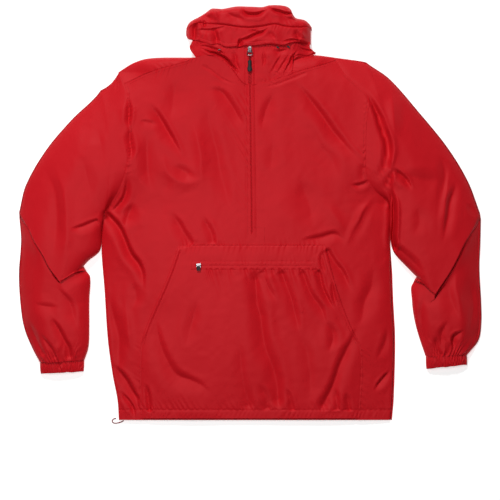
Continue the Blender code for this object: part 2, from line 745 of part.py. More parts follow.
def build_pocket_pull(hinge):
    """A flat metal tab, its barrel round the bridge's bar, with a round hole near its free end (-Y)."""
    pivot = lying_pull("pocket_pull_pivot", hinge)
    mesh = bmesh.new()
    bmesh.ops.create_cube(mesh, size=1.0)
    near, far = -barrel_bore - 0.0001, -tab_length
    for v in mesh.verts:
        width = tab_width if v.co.y < 0 else tab_width * 0.7
        y = far if v.co.y < 0 else near
        v.co = Vector((v.co.x * width, y, v.co.z * tab_thickness))
    tab = finish_mesh("pocket_pull_tab", mesh, "nickel")
    edge = tab.modifiers.new("rounded", "BEVEL")
    edge.width = 0.0003
    edge.segments = 2
    tab_tool("tab_barrel", barrel_radius, barrel_length, (0.0, 0.0, 0.0), True, tab, "UNION")
    tab_tool("tab_bore", barrel_bore, 0.02, (0.0, 0.0, 0.0), True, tab, "DIFFERENCE")
    tab_tool("tab_hole", tab_hole_radius, 0.02, (0.0, -0.0082, 0.0), False, tab, "DIFFERENCE")
    tab.parent = pivot
    return pivot


def build_cord_end(name, x, lean):
    """A short crimped cord end at the face edge's eyelet."""
    y = face_low_y(x) - 0.0060
    mesh = bmesh.new()
    bmesh.ops.create_cone(mesh, cap_ends=True, segments=12, radius1=0.0013, radius2=0.0013, depth=0.0065)
    end = finish_mesh(name, mesh, "cord_end_grey")
    edge = end.modifiers.new("rounded", "BEVEL")
    edge.width = 0.0004
    edge.segments = 2
    end.location = (x, y, hood_height(x, y) + 0.0026)
    end.rotation_euler = (0.0, math.pi / 2, lean)
    return end


# Elastic hem cord: its free loop, from the channel's mouth out and back: x, y, height.
hem_loop = [
    (-0.2640, 0.0006, 0.0040), (-0.2668, -0.0015, 0.0026), (-0.2705, -0.0030, 0.0013),
    (-0.2760, -0.0045, 0.0012), (-0.2815, -0.0052, 0.0012), (-0.2862, -0.0042, 0.0012),
    (-0.2885, -0.0010, 0.0012), (-0.2872, 0.0025, 0.0012), (-0.2836, 0.0048, 0.0012),
    (-0.2796, 0.0052, 0.0012),
]
hem_cord_radius = 0.0011


def build_hem_cord():
    return wire("hem_cord_loop", hem_loop, hem_cord_radius, "cord_red")


def build_all():
    build_back()
    build_front()
    build_sleeve("sleeve_left", left_sleeve_sections, left_x, -1)
    build_sleeve("sleeve_right", right_sleeve_sections, right_x, 1)
    build_cuff("cuff_left", left_cuff_sections)
    build_cuff("cuff_right", right_cuff_sections)
    build_pouch()
    build_front_tape()
    build_pocket_tape()
    build_hood_side("hood_side_left", left_neck, -1)
    build_hood_side("hood_side_right", right_neck, 1)
    build_face_edge()
    build_crown()
    build_cord_end("hood_cord_end_left", -0.064, 0.35)
    build_cord_end("hood_cord_end_right", 0.058, -0.55)
    build_cord_end("hood_cord_end_far_right", 0.080, -0.45)
    slider_y = 0.7725
    slider_z = body_height(0.0, slider_y) + slider_thickness / 2 + seam_gap
    build_slider("front_zip_slider", (-0.0006, slider_y, slider_z), along_x=False)
    bar_z = slider_z + slider_thickness / 2 + ring_radius + seam_gap
    build_front_pull((-0.0006, slider_y - 0.0005, bar_z)).rotation_euler = (pull_droop, 0.0, 0.0)
    pocket_x = pocket_zip_left + 0.007
    pocket_z = body_height(pocket_x, pocket_zip_y) + pouch_rise(pocket_x, pocket_zip_y)
    pocket_z += slider_thickness / 2 + 2 * seam_gap
    build_slider("pocket_zip_slider", (pocket_x, pocket_zip_y, pocket_z), along_x=True)
    tab_z = pocket_z + slider_thickness / 2 + bridge_height
    build_pocket_pull((pocket_x, pocket_zip_y, tab_z)).rotation_euler = (tab_droop, 0.0, 0.0)
    build_hem_cord()


def place_origin():
    """Hang every piece from one empty, so that the garment's middle stands at the world's origin."""
    whole = bpy.data.objects.new("anorak_origin", None)
    parts.objects.link(whole)
    for thing in list(parts.objects):
        if thing.parent is None and thing is not whole:
            thing.parent = whole
    whole.location = (-garment_middle[0], -garment_middle[1], 0.0)


clear_scene()
cutters = bpy.data.collections.new("cutters")
bpy.context.scene.collection.children.link(cutters)
cutters.hide_render = True
materials = {
    "nylon_taffeta": material("nylon_taffeta", cloth_red, 0.45),
    "zip_tape": material("zip_tape", tape_red, 0.60),
    "cord_red": material("cord_red", tape_red, 0.75),
    "cord_end_grey": material("cord_end_grey", (0.045, 0.040, 0.042, 1.0), 0.40, 0.6),
    "nickel": material("nickel", steel, 0.28, 1.0),
    "rubber": material("rubber", rubber_black, 0.65),
}
build_all()
place_origin()
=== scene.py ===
import math

import bmesh
import bpy
import numpy as np
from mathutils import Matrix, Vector


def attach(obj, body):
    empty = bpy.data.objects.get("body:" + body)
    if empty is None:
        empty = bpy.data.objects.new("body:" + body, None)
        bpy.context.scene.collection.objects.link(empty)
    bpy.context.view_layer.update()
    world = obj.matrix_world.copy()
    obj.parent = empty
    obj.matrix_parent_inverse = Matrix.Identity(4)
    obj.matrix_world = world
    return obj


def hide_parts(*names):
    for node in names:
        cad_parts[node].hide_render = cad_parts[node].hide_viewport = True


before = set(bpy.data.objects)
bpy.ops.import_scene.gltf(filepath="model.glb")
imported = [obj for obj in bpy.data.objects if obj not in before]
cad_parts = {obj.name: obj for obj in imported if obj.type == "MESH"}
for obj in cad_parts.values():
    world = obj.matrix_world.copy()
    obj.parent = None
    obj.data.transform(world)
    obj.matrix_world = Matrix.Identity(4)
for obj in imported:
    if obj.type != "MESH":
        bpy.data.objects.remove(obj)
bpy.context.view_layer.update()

# A hooded half-zip anorak of thin nylon, laid flat on its back. All lengths are metres.
# Shapes are measured from the middle of the hem; laid() moves them to the imported model's origin.
# Outlines, folds and seams are written in millimetres.
middleX, middleY = 0.00025, 0.434


def say(text):
    print(f"anorak: {text}", flush=True)


def hexColour(code):
    # sRGB hex to the linear colour that a shader wants
    parts = [int(code[i : i + 2], 16) / 255 for i in (1, 3, 5)]
    return tuple(c / 12.92 if c <= 0.04045 else ((c + 0.055) / 1.055) ** 2.4 for c in parts) + (1.0,)


view = {"width": 1.04, "centre": (-0.00025, -0.0773), "height": 7.0, "clothHeight": 0.03, "sensor": 36.0}
light = {
    "key": (88.0, 0.8, (-0.6, 2.7, 2.6), (0, 0, 0)),  # power, size, place, where it points
    "top": (10.5, 0.8, (-0.22, -0.12, 1.6), (-0.22, -0.12, 0)),
    "sky": "#F4F6FA", "skyStrength": 0.07, "floor": "#F4F4F3",
}


def areaLight(name, power, size, place, target):
    lamp = bpy.data.lights.new(name, "AREA")
    lamp.energy, lamp.shape, lamp.size = power, "DISK", size
    thing = bpy.data.objects.new(name, lamp)
    bpy.context.scene.collection.objects.link(thing)
    thing.location = place
    thing.rotation_euler = (Vector(target) - thing.location).to_track_quat("-Z", "Y").to_euler()


def setSockets(shader, values):
    for socket, value in values.items():
        shader.inputs[socket].default_value = value


def setStage():
    camera = bpy.data.cameras.new("camera")
    camera.sensor_width = view["sensor"]
    camera.lens = view["sensor"] * (view["height"] - view["clothHeight"]) / view["width"]
    camera.clip_end = 50.0
    thing = bpy.data.objects.new("camera", camera)
    bpy.context.scene.collection.objects.link(thing)
    thing.location = (*view["centre"], view["height"])
    bpy.context.scene.camera = thing
    bpy.context.scene.view_settings.view_transform = "Standard"

    areaLight("keyLight", *light["key"])
    areaLight("topLight", *light["top"])
    world = bpy.data.worlds.new("studio")
    bpy.context.scene.world = world
    world.use_nodes = True
    sky = world.node_tree.nodes["Background"]
    sky.inputs["Color"].default_value = hexColour(light["sky"])
    sky.inputs["Strength"].default_value = light["skyStrength"]

    # matt pulp paper, lit a little from within so that it stays even
    paper = bpy.data.materials.new("matteBackdropPaper")
    paper.use_nodes = True
    setSockets(paper.node_tree.nodes["Principled BSDF"], {
        "Base Color": hexColour(light["floor"]), "Roughness": 0.9, "Specular IOR Level": 0.1,
        "Emission Color": (1, 1, 1, 1), "Emission Strength": 0.55})
    sheet = bmesh.new()
    bmesh.ops.create_grid(sheet, x_segments=1, y_segments=1, size=6.0)
    data = bpy.data.meshes.new("floor")
    sheet.to_mesh(data)
    sheet.free()
    data.materials.append(paper)
    plane = bpy.data.objects.new("floor", data)
    plane.location.z = -0.0004
    bpy.context.scene.collection.objects.link(plane)


def link(tree, made, links):
    for key, (source, output) in links.items():
        tree.links.new(source.outputs[output], made.inputs[key])


def node(tree, kind, settings=None, links=None):
    # adds a node: settings are sockets or attributes by name, links are socket: (node, output)
    made = tree.nodes.new(kind)
    for key, value in (settings or {}).items():
        if isinstance(key, str) and hasattr(made, key):
            setattr(made, key, value)
        else:
            made.inputs[key].default_value = value
    link(tree, made, links or {})
    return made


def newMaterial(name, uniform):
    made = bpy.data.materials.new(name)
    made.use_nodes = True
    tree = made.node_tree
    shader = tree.nodes["Principled BSDF"]
    setSockets(shader, uniform)
    place = node(tree, "ShaderNodeTexCoord")
    return made, tree, shader, {"Vector": (place, "Object")}


taffeta = {
    "colour": "#CD1420", "shade": "#C4111C", "roughness": 0.56, "specular": 0.12,
    "threadSpacing": 1.1, "threadStrength": 0.10, "crumpleSize": 7.0, "crumpleStrength": 0.16,
}


def nylonTaffeta(name, values):
    # Plain woven nylon, calendered: smooth and close, a soft wide gloss, small crumples, hardly any thread.
    # Real threads are 0.1 mm apart; they are drawn values["threadSpacing"] mm apart so that they show at all.
    made, tree, shader, at = newMaterial(name, {
        "Roughness": values["roughness"], "IOR": 1.53, "Specular IOR Level": values["specular"]})  # nylon 6
    patch = node(tree, "ShaderNodeTexNoise", {"Scale": 9.0, "Detail": 3.0}, at)
    tones = {"data_type": "RGBA", 6: hexColour(values["colour"]), 7: hexColour(values["shade"])}
    tint = node(tree, "ShaderNodeMix", tones, {0: (patch, "Fac")})
    perMetre = 1000.0 / values["crumpleSize"]
    crumple = node(tree, "ShaderNodeTexNoise", {"Scale": perMetre, "Detail": 3.0, "Distortion": 0.6}, at)
    waves = [node(tree, "ShaderNodeTexWave", {
        "bands_direction": direction, "Scale": 1000.0 / values["threadSpacing"] / 6.283 * 0.5,
        "Distortion": 1.0, "Detail": 1.0, "Detail Scale": 2.0}, at) for direction in ("X", "Y")]
    weave = node(tree, "ShaderNodeMath", {"operation": "MULTIPLY"},
                 {0: (waves[0], "Fac"), 1: (waves[1], "Fac")})
    low = node(tree, "ShaderNodeBump", {"Strength": values["crumpleStrength"], "Distance": 0.0012},
               {"Height": (crumple, "Fac")})
    fine = node(tree, "ShaderNodeBump", {"Strength": values["threadStrength"], "Distance": 0.0002},
                {"Height": (weave, "Value"), "Normal": (low, "Normal")})
    link(tree, shader, {"Base Color": (tint, 2), "Normal": (fine, "Normal")})
    return made


def wovenTape(name, colour, spacing, strength):
    # Woven polyester tape or braided cord: matt, with a rib in its bump. The rib's grooves are painted darker
    # as painted shade, which shows as fine dark lines across it.
    made, tree, shader, at = newMaterial(name, {"Roughness": 0.7, "IOR": 1.57, "Specular IOR Level": 0.1})
    perTurn = 1000.0 / spacing / 6.283
    rib = node(tree, "ShaderNodeTexWave", {
        "bands_direction": "DIAGONAL", "Scale": perTurn, "Distortion": 0.8, "Detail": 1.0}, at)
    base = hexColour(colour)
    # painted shade: where the rib's bump is low, in its grooves, the colour is 0.72 times as bright
    paintedGrooveShade = tuple(0.72 * c for c in base[:3]) + (1.0,)
    ramp = node(tree, "ShaderNodeMix", {"data_type": "RGBA", 6: paintedGrooveShade, 7: base}, {0: (rib, "Fac")})
    bump = node(tree, "ShaderNodeBump", {"Strength": strength, "Distance": 0.0003}, {"Height": (rib, "Fac")})
    link(tree, shader, {"Base Color": (ramp, 2), "Normal": (bump, "Normal")})
    return made


def castNickel(name, colour, roughness, wear):
    # Zinc die casting, barrel-polished and nickel plated: bright, a little uneven, duller in small patches.
    made, tree, shader, at = newMaterial(name, {"Base Color": hexColour(colour), "Metallic": 1.0})
    spots = node(tree, "ShaderNodeTexNoise", {"Scale": 900.0, "Detail": 4.0}, at)
    rough = node(tree, "ShaderNodeMapRange", {"To Min": roughness, "To Max": roughness + wear},
                 {"Value": (spots, "Fac")})
    bump = node(tree, "ShaderNodeBump", {"Strength": 0.15, "Distance": 0.0001}, {"Height": (spots, "Fac")})
    link(tree, shader, {"Roughness": (rough, "Result"), "Normal": (bump, "Normal")})
    return made


def mouldedRubber(name, colour, bloom):
    # Injection-moulded soft rubber: black, dull, finely pitted by the mould.
    made, tree, shader, at = newMaterial(name, {"Roughness": 0.62, "IOR": 1.52})
    pits = node(tree, "ShaderNodeTexNoise", {"Scale": 1600.0, "Detail": 2.0}, at)
    tone = node(tree, "ShaderNodeMix", {"data_type": "RGBA", 6: hexColour(colour), 7: hexColour(bloom)},
                {0: (pits, "Fac")})
    bump = node(tree, "ShaderNodeBump", {"Strength": 0.3, "Distance": 0.00015}, {"Height": (pits, "Fac")})
    link(tree, shader, {"Base Color": (tone, 2), "Normal": (bump, "Normal")})
    return made


def inPairs(*numbers):
    # pairs in metres from a run of numbers in millimetres
    return [(a / 1000, b / 1000) for a, b in zip(numbers[::2], numbers[1::2])]


def eased(t):
    t = np.clip(t, 0.0, 1.0)
    return t * t * (3 - 2 * t)


def curveThrough(pairs):
    # the smooth line through (place, value) pairs, level past both ends
    place, value = np.array(pairs, float).T
    slope = np.gradient(value)
    slope[1:-1] = (value[2:] - value[:-2]) / (place[2:] - place[:-2])
    slope[0] = (value[1] - value[0]) / (place[1] - place[0])
    slope[-1] = (value[-1] - value[-2]) / (place[-1] - place[-2])

    def at(x):
        x = np.clip(x, place[0], place[-1])
        i = np.clip(np.searchsorted(place, x, side="right") - 1, 0, len(place) - 2)
        span = place[i + 1] - place[i]
        t = (x - place[i]) / span
        return (value[i] * (2 * t**3 - 3 * t**2 + 1) + slope[i] * span * (t**3 - 2 * t**2 + t)
                + value[i + 1] * (3 * t**2 - 2 * t**3) + slope[i + 1] * span * (t**3 - t**2))

    return at


def cloudy(x, y, size, seed):
    # soft random lumps from -1 to 1, each about size across
    table = np.random.default_rng(seed).uniform(-1, 1, (64, 64))
    u, v = x / size + 21.3, y / size + 9.7
    i, j = np.floor(u).astype(int), np.floor(v).astype(int)
    a, b = u - i, v - j
    a, b = eased(a), eased(b)
    near = table[i % 64, j % 64] * (1 - a) + table[(i + 1) % 64, j % 64] * a
    far = table[i % 64, (j + 1) % 64] * (1 - a) + table[(i + 1) % 64, (j + 1) % 64] * a
    return near * (1 - b) + far * b


def densePath(points, step=0.006):
    # the same path with rounded turns, in short straight steps
    points = np.array(points, float)
    along = np.concatenate(([0.0], np.cumsum(np.hypot(*np.diff(points, axis=0).T))))
    if len(points) > 2:
        count = max(int(along[-1] / step), 4)
        at = np.linspace(0, along[-1], count + 1)
        return np.stack([curveThrough(list(zip(along, points[:, k])))(at) for k in (0, 1)], axis=1)
    return points


def besidePath(x, y, points, reach):
    # places near a path: how far beside it (left of its run is above zero) and how far along it, in metres
    path = densePath(points)
    low, high = path.min(axis=0) - reach, path.max(axis=0) + reach
    near = (x > low[0]) & (x < high[0]) & (y > low[1]) & (y < high[1])
    xs, ys = x[near], y[near]
    best = np.full(xs.shape, np.inf)
    beside, along = np.zeros(xs.shape), np.zeros(xs.shape)
    passed = 0.0
    for (ax, ay), (bx, by) in zip(path[:-1], path[1:]):
        step = math.hypot(bx - ax, by - ay)
        k = np.clip(((xs - ax) * (bx - ax) + (ys - ay) * (by - ay)) / step**2, 0, 1)
        away = np.hypot(xs - ax - k * (bx - ax), ys - ay - k * (by - ay))
        closer = away < best
        left = (bx - ax) * (ys - ay) >= (by - ay) * (xs - ax)
        beside = np.where(closer, np.where(left, away, -away), beside)
        along = np.where(closer, passed + k * step, along)
        best = np.minimum(best, away)
        passed += step
    return near, beside, along, passed


def leanOf(path):
    # A fold is steepest on its upper side, which lies in shade: above zero is the left of the path's run.
    (ax, ay), (bx, by) = path[0], path[-1]
    return round(min(max(1.2 * (bx - ax) / max(abs(by - ay), 1e-9), -0.7), 0.7), 1)


def folded(x, y, folds):
    # Each fold, in mm: half width, depth (below zero is a ridge), open ends, then its path's x and y in turn.
    # The ends die away unless they are open: 1 start, 2 end, 3 both.
    total = np.zeros(x.shape)
    for width, depth, openEnds, *run in folds:
        width, depth, path = width / 1000, depth / 1000, inPairs(*run)
        lean = leanOf(path) if depth > 0 else 0.0
        near, beside, along, length = besidePath(x, y, path, 8 * width)
        share = along / length
        rise = eased(share / (0.08 if openEnds & 1 else 0.4))
        fall = eased((1 - share) / (0.08 if openEnds & 2 else 0.4))
        strength = rise * fall
        q = beside / (width * (0.6 + 0.4 * strength) * (1 - 0.62 * lean * np.sign(beside)))
        shape = -np.exp(-np.abs(q) ** 1.35) + 0.24 * np.exp(-(((np.abs(q) - 2.0) / 1.1) ** 2))
        total[near] += depth * shape * strength
    return total


def puckered(x, y, seams):
    # Ripples that a seam pulls in: reach, height and spacing in mm, slant, side (0 both, 1 left, -1 right),
    # seed, then the seam's x and y in turn, in mm.
    total = np.zeros(x.shape)
    for reach, height, spacing, slant, side, seed, *run in seams:
        reach, height, spacing = reach / 1000, height / 1000, spacing / 1000
        near, beside, along, length = besidePath(x, y, inPairs(*run), 4 * reach)
        run = along + slant * np.abs(beside)
        zero = np.zeros(run.shape)
        phase = run / spacing + 0.9 * cloudy(run, zero, spacing * 2.3, seed)
        size = 0.55 + 0.45 * cloudy(run, zero + 0.3, spacing * 1.7, seed + 1)
        far = reach * (1.0 + 0.7 * cloudy(run, zero + 0.6, spacing * 1.3, seed + 2))
        fade = np.exp(-((np.abs(beside) / far) ** 1.5))
        if side:
            fade = fade * (beside * side > 0)
        ends = eased(along / 0.012) * eased((length - along) / 0.012)
        total[near] += height * np.sin(2 * math.pi * phase) * size * fade * ends
    return total


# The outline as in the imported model: y and x down each side, x and y along the top, y and middle height.
leftSide = inPairs(
    4, -274, 45, -277, 97, -287, 170, -297, 274, -304, 355, -310, 434, -308, 444, -297, 500, -266,
    567, -252, 648, -255, 690, -258, 727, -275
)
rightSide = inPairs(
    0, 292, 45, 296, 170, 299, 253, 295, 315, 293, 357, 293, 454, 291, 479, 262, 513, 243, 565, 241,
    627, 243, 673, 248, 694, 229, 723, 198, 758, 177
)
frontTop = inPairs(
    -275, 700, -260, 704, -208, 727, -135, 748, -110, 758, -83, 763, -58, 751, -37, 731, -21, 711, -6, 702,
    14, 702, 52, 711, 104, 729, 162, 746, 180, 754
)
crownLine = inPairs(0, 11, 60, 16, 160, 23, 300, 27, 420, 29, 560, 31, 700, 34, 790, 36.5)
leftX, rightX, topY, crownZ = (curveThrough(line) for line in (leftSide, rightSide, frontTop, crownLine))
shoulders = {"leftUnderarm": 0.434, "rightUnderarm": 0.454, "leftTop": 0.727, "rightTop": 0.758}
armHeight, lowEdge = 0.038, 0.0042
zipFoot, zipHead, slotFoot, hemSeamY = 0.374, 0.778, 0.388, 0.0232
pocketZip = {"y": 0.3245, "left": -0.114, "right": 0.131, "halfSlot": 0.0015}
pouchLeft = inPairs(6, -229, 149, -229, 197, -216, 296, -173, 371, -146)
pouchRight = inPairs(6, 229, 145, 233, 201, 208, 274, 181, 367, 156)
pouchLowX, pouchHighX = curveThrough(pouchLeft), curveThrough(pouchRight)


def tubeTop(t, height):
    # a lying tube's upper side: a quarter of its height at the edges, all of it in the middle
    return height * (0.25 + 0.75 * (1 - np.minimum(np.abs(2 * t - 1), 1.0) ** 2.4) ** 0.5)


def armholeTop(t, height):
    return height * (0.25 + 0.75 * (1 - np.minimum(np.abs(2 * t - 1), 1.0) ** 3.0))


def edgeHeight(y, underarm, shoulder):
    above = armholeTop((shoulder - y) / (shoulder - underarm), armHeight)
    below = lowEdge + (0.25 * armHeight - lowEdge) * eased(1 - (underarm - y) / 0.07)
    return np.where(y >= underarm, above, below)


def bodyHeight(x, y):
    left, right = leftX(y), rightX(y)
    across = np.clip((x - left) / (right - left), 0.0, 1.0)
    leftEnd = edgeHeight(y, shoulders["leftUnderarm"], shoulders["leftTop"])
    rightEnd = edgeHeight(y, shoulders["rightUnderarm"], shoulders["rightTop"])
    ends = leftEnd + (rightEnd - leftEnd) * across
    openSide = 1 - eased((y - shoulders["leftUnderarm"] + 0.02) / 0.08)
    bulge = (1 - np.abs(2 * across - 1) ** 4.0) ** (1 - 0.5 * openSide)
    return ends + (crownZ(y) - ends) * bulge


def centreX(y):
    return 0.004 * (1 - eased((y - zipFoot) / (zipHead - zipFoot)))


bodyFolds = [
    # left chest
    (8.5, 5.2, 0, -210, 668, -187, 631, -166, 598, -150, 569, -140, 545),
    (20, 3, 0, -152, 715, -160, 665, -164, 622),
    (12, 3.6, 0, -219, 605, -213, 544, -205, 470),
    (13, 3.4, 0, -94, 660, -79, 606, -69, 555, -58, 500, -40, 425),
    (10, 3.6, 0, -97, 690, -58, 683, -37, 658, -20, 627, -6, 602),
    (9, 3.4, 2, -168, 440, -141, 402, -119, 366),
    (7, 2.8, 2, -100, 432, -83, 398, -77, 366),
    (11, -2.4, 0, -180, 575, -172, 519, -135, 497, -90, 506),
    (12, 2.2, 0, -164, 536, -140, 522, -110, 504),
    (6, 1.8, 0, -231, 624, -212, 621, -189, 616),
    (10, -2.2, 0, -118, 640, -106, 565, -98, 490),
    # left underarm and side
    (7.5, 7.8, 1, -306, 442, -287, 415, -266, 390, -250, 357, -235, 330, -223, 300, -217, 268),
    (4.5, 4.6, 0, -254, 512, -258, 474, -272, 452, -292, 434),
    (10, 4.2, 0, -240, 458, -254, 430, -264, 398),
    (10, 2.4, 0, -246, 292, -236, 263, -244, 232),
    (11, 4, 0, -303, 275, -288, 222, -274, 175, -272, 130, -282, 90),
    (9, 5.2, 0, -292, 124, -266, 92, -250, 66, -237, 45, -228, 14),
    (4.2, 4.6, 0, -272, 66, -254, 41, -242, 24, -236, 2),
    (8, -2, 0, -262, 262, -254, 200, -244, 140),
    (5, 5, 0, -256, 676, -253.5, 652, -254, 622, -252, 604),
    (6, 4.6, 0, -250, 616, -253, 590, -249, 566, -252, 540),
    (2.2, 1.4, 1, -100, 741.5, -69, 720.7, -40, 706, -17, 696.4),
    (2.2, 1.2, 1, 118, 728, 80, 714, 50, 702, 20, 696),
    # right chest
    (10.5, 5.6, 0, 90, 712, 114, 685, 141, 652, 166, 617, 191, 581, 212, 558, 231, 538),
    (11, 2.4, 0, 56, 690, 33, 648, 22, 600),
    (10, 1.6, 0, 48, 590, 45, 560, 44, 520),
    (22, 2.6, 0, 104, 650, 140, 586, 172, 534, 200, 488),
    (4.5, 3, 0, 208, 492, 233, 497, 250, 505),
    (8, 3.4, 0, 100, 374, 146, 385, 177, 390, 204, 370),
    (7, -2.6, 0, 258, 470, 229, 430, 212, 388, 196, 362),
    (8, 2.2, 0, 246, 450, 222, 408, 206, 372),
    (20, 2.8, 0, 100, 512, 122, 450, 132, 398),
    (12, -1.8, 0, 160, 452, 182, 418, 204, 390),
    (7, 1.8, 0, 236, 545, 232, 520, 236, 500),
    # right side and the corner by the hem
    (14, 3.6, 0, 262, 330, 250, 274, 233, 222, 222, 190),
    (7.8, 4, 1, 160, 363, 177, 332, 198, 298, 214, 264),
    (4.5, 3.4, 0, 294, 110, 275, 86, 256, 62),
    (7, 2.2, 0, 287, 200, 281, 165, 262, 125),
    # pouch pocket
    (12.5, 3.6, 0, -198, 225, -187, 170, -171, 128, -150, 96, -104, 76, -70, 52),
    (11, 2.2, 0, -106, 262, -124, 200, -134, 150),
    (10, 2.4, 2, -24, 170, -15, 107, -4, 20),
    (12.5, 5.2, 3, 8, 318, 16, 253, 23, 190, 37, 138, 52, 97, 58, 50, 60, 22),
    (7, 2.2, 1, 24, 316, 37, 284, 54, 246),
    (9, 3.6, 1, 66, 318, 80, 270, 94, 215, 106, 172),
    (13, 2.8, 0, 100, 196, 121, 128, 129, 76, 124, 30),
    (6.5, 3, 1, 110, 316, 128, 268, 148, 234, 160, 196),
    (4.5, 4, 1, 144, 316, 152, 276, 164, 249, 178, 230),
    (3.5, 2.8, 0, 171, 296, 175, 258, 181, 236),
    (8.5, 3.4, 0, 156, 212, 171, 180, 164, 140),
    (10.5, 4.6, 2, 226, 205, 212, 170, 198, 145, 188, 118, 172, 76, 156, 46, 146, 22),
    (7, 3, 2, 176, 72, 181, 45, 184, 20),
    (6, 2.6, 2, 200, 62, 207, 40, 209, 20),
    (5, 2.4, 2, 76, 70, 86, 45, 89, 20),
    (8, 2.4, 2, 20, 82, 32, 52, 38, 22),
    (4.2, 3.6, 2, -216, 82, -210, 50, -208, 16),
    (3.5, 2.2, 0, 150, 354, 150, 330, 156, 300),
]
sleeveFolds = [
    # right: the deep fold beside the armhole, and the tucks under it
    (6.2, 19, 0, 240, 690, 259, 656, 270, 623, 281, 590, 287, 566, 283, 540, 271, 516, 256, 492),
    (4.2, 7.5, 0, 296, 524, 286, 502, 281, 478),
    (5, 20, 2, 288, 492, 296, 462, 296.5, 420, 297, 385, 299, 352),
    (5.5, 9, 0, 288, 522, 300, 521, 313, 514, 328, 503, 341, 482),
    (17, 4.2, 0, 318, 516, 360, 506, 404, 500),
    (10, 3.4, 0, 392, 556, 405, 513, 402, 458),
    (6.5, -3.6, 0, 414, 530, 409, 461, 400, 384),
    (8, 4.6, 0, 431, 512, 420, 461, 409, 409, 399, 366),
    (11, -3.6, 0, 297, 694, 300, 640, 300, 580),
    (6, 3, 0, 452, 455, 466, 446, 480, 428),
    (11, 4, 1, 298, 366, 330, 342, 362, 305),
    (12, 2.8, 0, 345, 450, 352, 415, 340, 385),
    (15, 4.4, 0, 452, 300, 466, 240, 458, 182),
    (9, 4.4, 0, 360, 268, 356, 215, 372, 152),
    (6.5, 4, 0, 412, 212, 397, 180, 401, 140),
    (5.5, 5.6, 0, 448, 190, 424, 176, 425, 142),
    (5, 4.8, 2, 384, 176, 392, 152, 400, 136),
    (10, -3, 0, 426, 320, 432, 270, 436, 220),
    (9, 2.8, 0, 414, 290, 420, 250, 440, 205),
    # left: the long break down the arm, the crease inside the elbow, the folds above the cuff
    (16, 4, 0, -440, 545, -408, 485, -404, 409, -410, 320),
    (10, -3, 0, -412, 540, -386, 470, -384, 400, -388, 320),
    (5.5, 4.6, 2, -376, 402, -343, 406, -314, 418),
    (9, 1.8, 0, -322, 610, -310, 570, -302, 520),
    (9, 3.4, 0, -400, 282, -374, 242, -356, 190),
    (8, 5.6, 2, -422, 222, -397, 192, -381, 159, -376, 126),
    (7, 3.6, 2, -466, 212, -447, 172, -429, 134),
    (6, 3.4, 2, -440, 185, -416, 152, -406, 128),
    (8, 2.6, 0, -450, 246, -425, 238, -398, 236),
    (4, 3, 0, -284, 722, -277, 706, -282, 684),
    (11, 2.2, 0, -352, 560, -338, 510, -330, 450),
]
seamPuckers = [
    (20, 1.2, 18.5, 1.7, -1, 11, 0, 690, 1, 620, 3, 500, 4, 440),
    (10, 0.6, 12, 0.5, -1, 31, 2, 500, 4, 440, 4, 376),
    (12, 0.6, 15, -0.8, 1, 12, 0, 700, 1, 620, 3, 500, 4, 376),
    (10, 1.5, 9.2, 0.35, 1, 13, -150, 369, -80, 366.5, -12, 366),
    (10, 1, 10.5, 0.2, 1, 14, 20, 365, 90, 365, 152, 368),
    (12, 0.7, 11, 0.2, -1, 15, -146, 368, 0, 364, 150, 366),
    (26, 1.2, 15, -0.35, -1, 16, -100, 319, 20, 318, 150, 318.5),
    (12, 0.9, 9, -0.2, -1, 32, -100, 319, 20, 318, 150, 318.5),
    (7, 0.5, 9.5, 0.2, 1, 17, -100, 329, 20, 329, 140, 329.5),
    (15, 1.4, 10.5, 0.6, 1, 18, -272, 23.5, -120, 23.5, 40, 22.5, 160, 21.5, 290, 21.5),
    (7, 1, 9, -0.5, 0, 19, -272, 11, -120, 11, 40, 10, 160, 9.5, 290, 9.5),
    (7, 1.5, 8.8, 0.6, 0, 20, -255, 690, -252, 640, -250, 560, -258, 510),
    (10, 1, 14, 1.2, 0, 21, 240, 672, 236, 620, 235, 565, 240, 515),
    (16, 0.8, 15, 0.7, -1, 22, -230, 170, -229, 90, -228, 20),
    (16, 0.8, 15, -0.7, 1, 23, 232, 160, 231, 90, 229, 20),
    (12, 0.8, 13, 0.7, 0, 24, -208, 727, -135, 748, -100, 760),
    (12, 1, 12, 0.8, 1, 25, -90, 760, -50, 745, -21, 711),
    (14, 0.9, 12, -0.9, 0, 26, 30, 707, 71, 727, 98, 745),
    (9, 1, 10, 0.4, 0, 27, -262, 470, -300, 438),
    (12, 0.9, 12, 0.9, -1, 28, -276, 90, -270, 40, -268, 10),
    (12, 0.9, 11, 0.7, 1, 29, 288, 120, 288, 60, 288, 10),
]
# how far the random lumps push the folds about, the lumps' heights, how much the body's folds are deepened
clothRelief = {"wander": 0.0030, "soft": 0.0020, "long": 0.0011, "small": 0.00026, "bodyFolds": 1.45}


def relief(x, y):
    # everything that the cloth does above its plain lying shape
    wx = x + clothRelief["wander"] * cloudy(x, y, 0.034, 3)
    wy = y + clothRelief["wander"] * cloudy(x, y, 0.040, 4)
    soft = clothRelief["soft"] * cloudy(wx, wy, 0.085, 5)
    soft += clothRelief["long"] * cloudy(1.2 * wx, 0.45 * wy, 0.030, 6)
    small = clothRelief["small"] * cloudy(wx, wy, 0.011, 7)
    folds = clothRelief["bodyFolds"] * folded(wx, wy, bodyFolds) + folded(wx, wy, sleeveFolds)
    return soft + small + folds + puckered(x, y, seamPuckers)


def grooved(away, width, depth):
    return -depth * np.exp(-((away / width) ** 2))


def placketShape(x, y):
    # the zip's strip: its stitched sides and raised middle, and how far it holds the folds down
    away = np.abs(x - centreX(y))
    strip = grooved(away - 0.0098, 0.0015, 0.0007) + 0.0006 * np.exp(-((away / 0.0062) ** 4))
    return strip, 0.75 * np.exp(-((away / 0.007) ** 4))


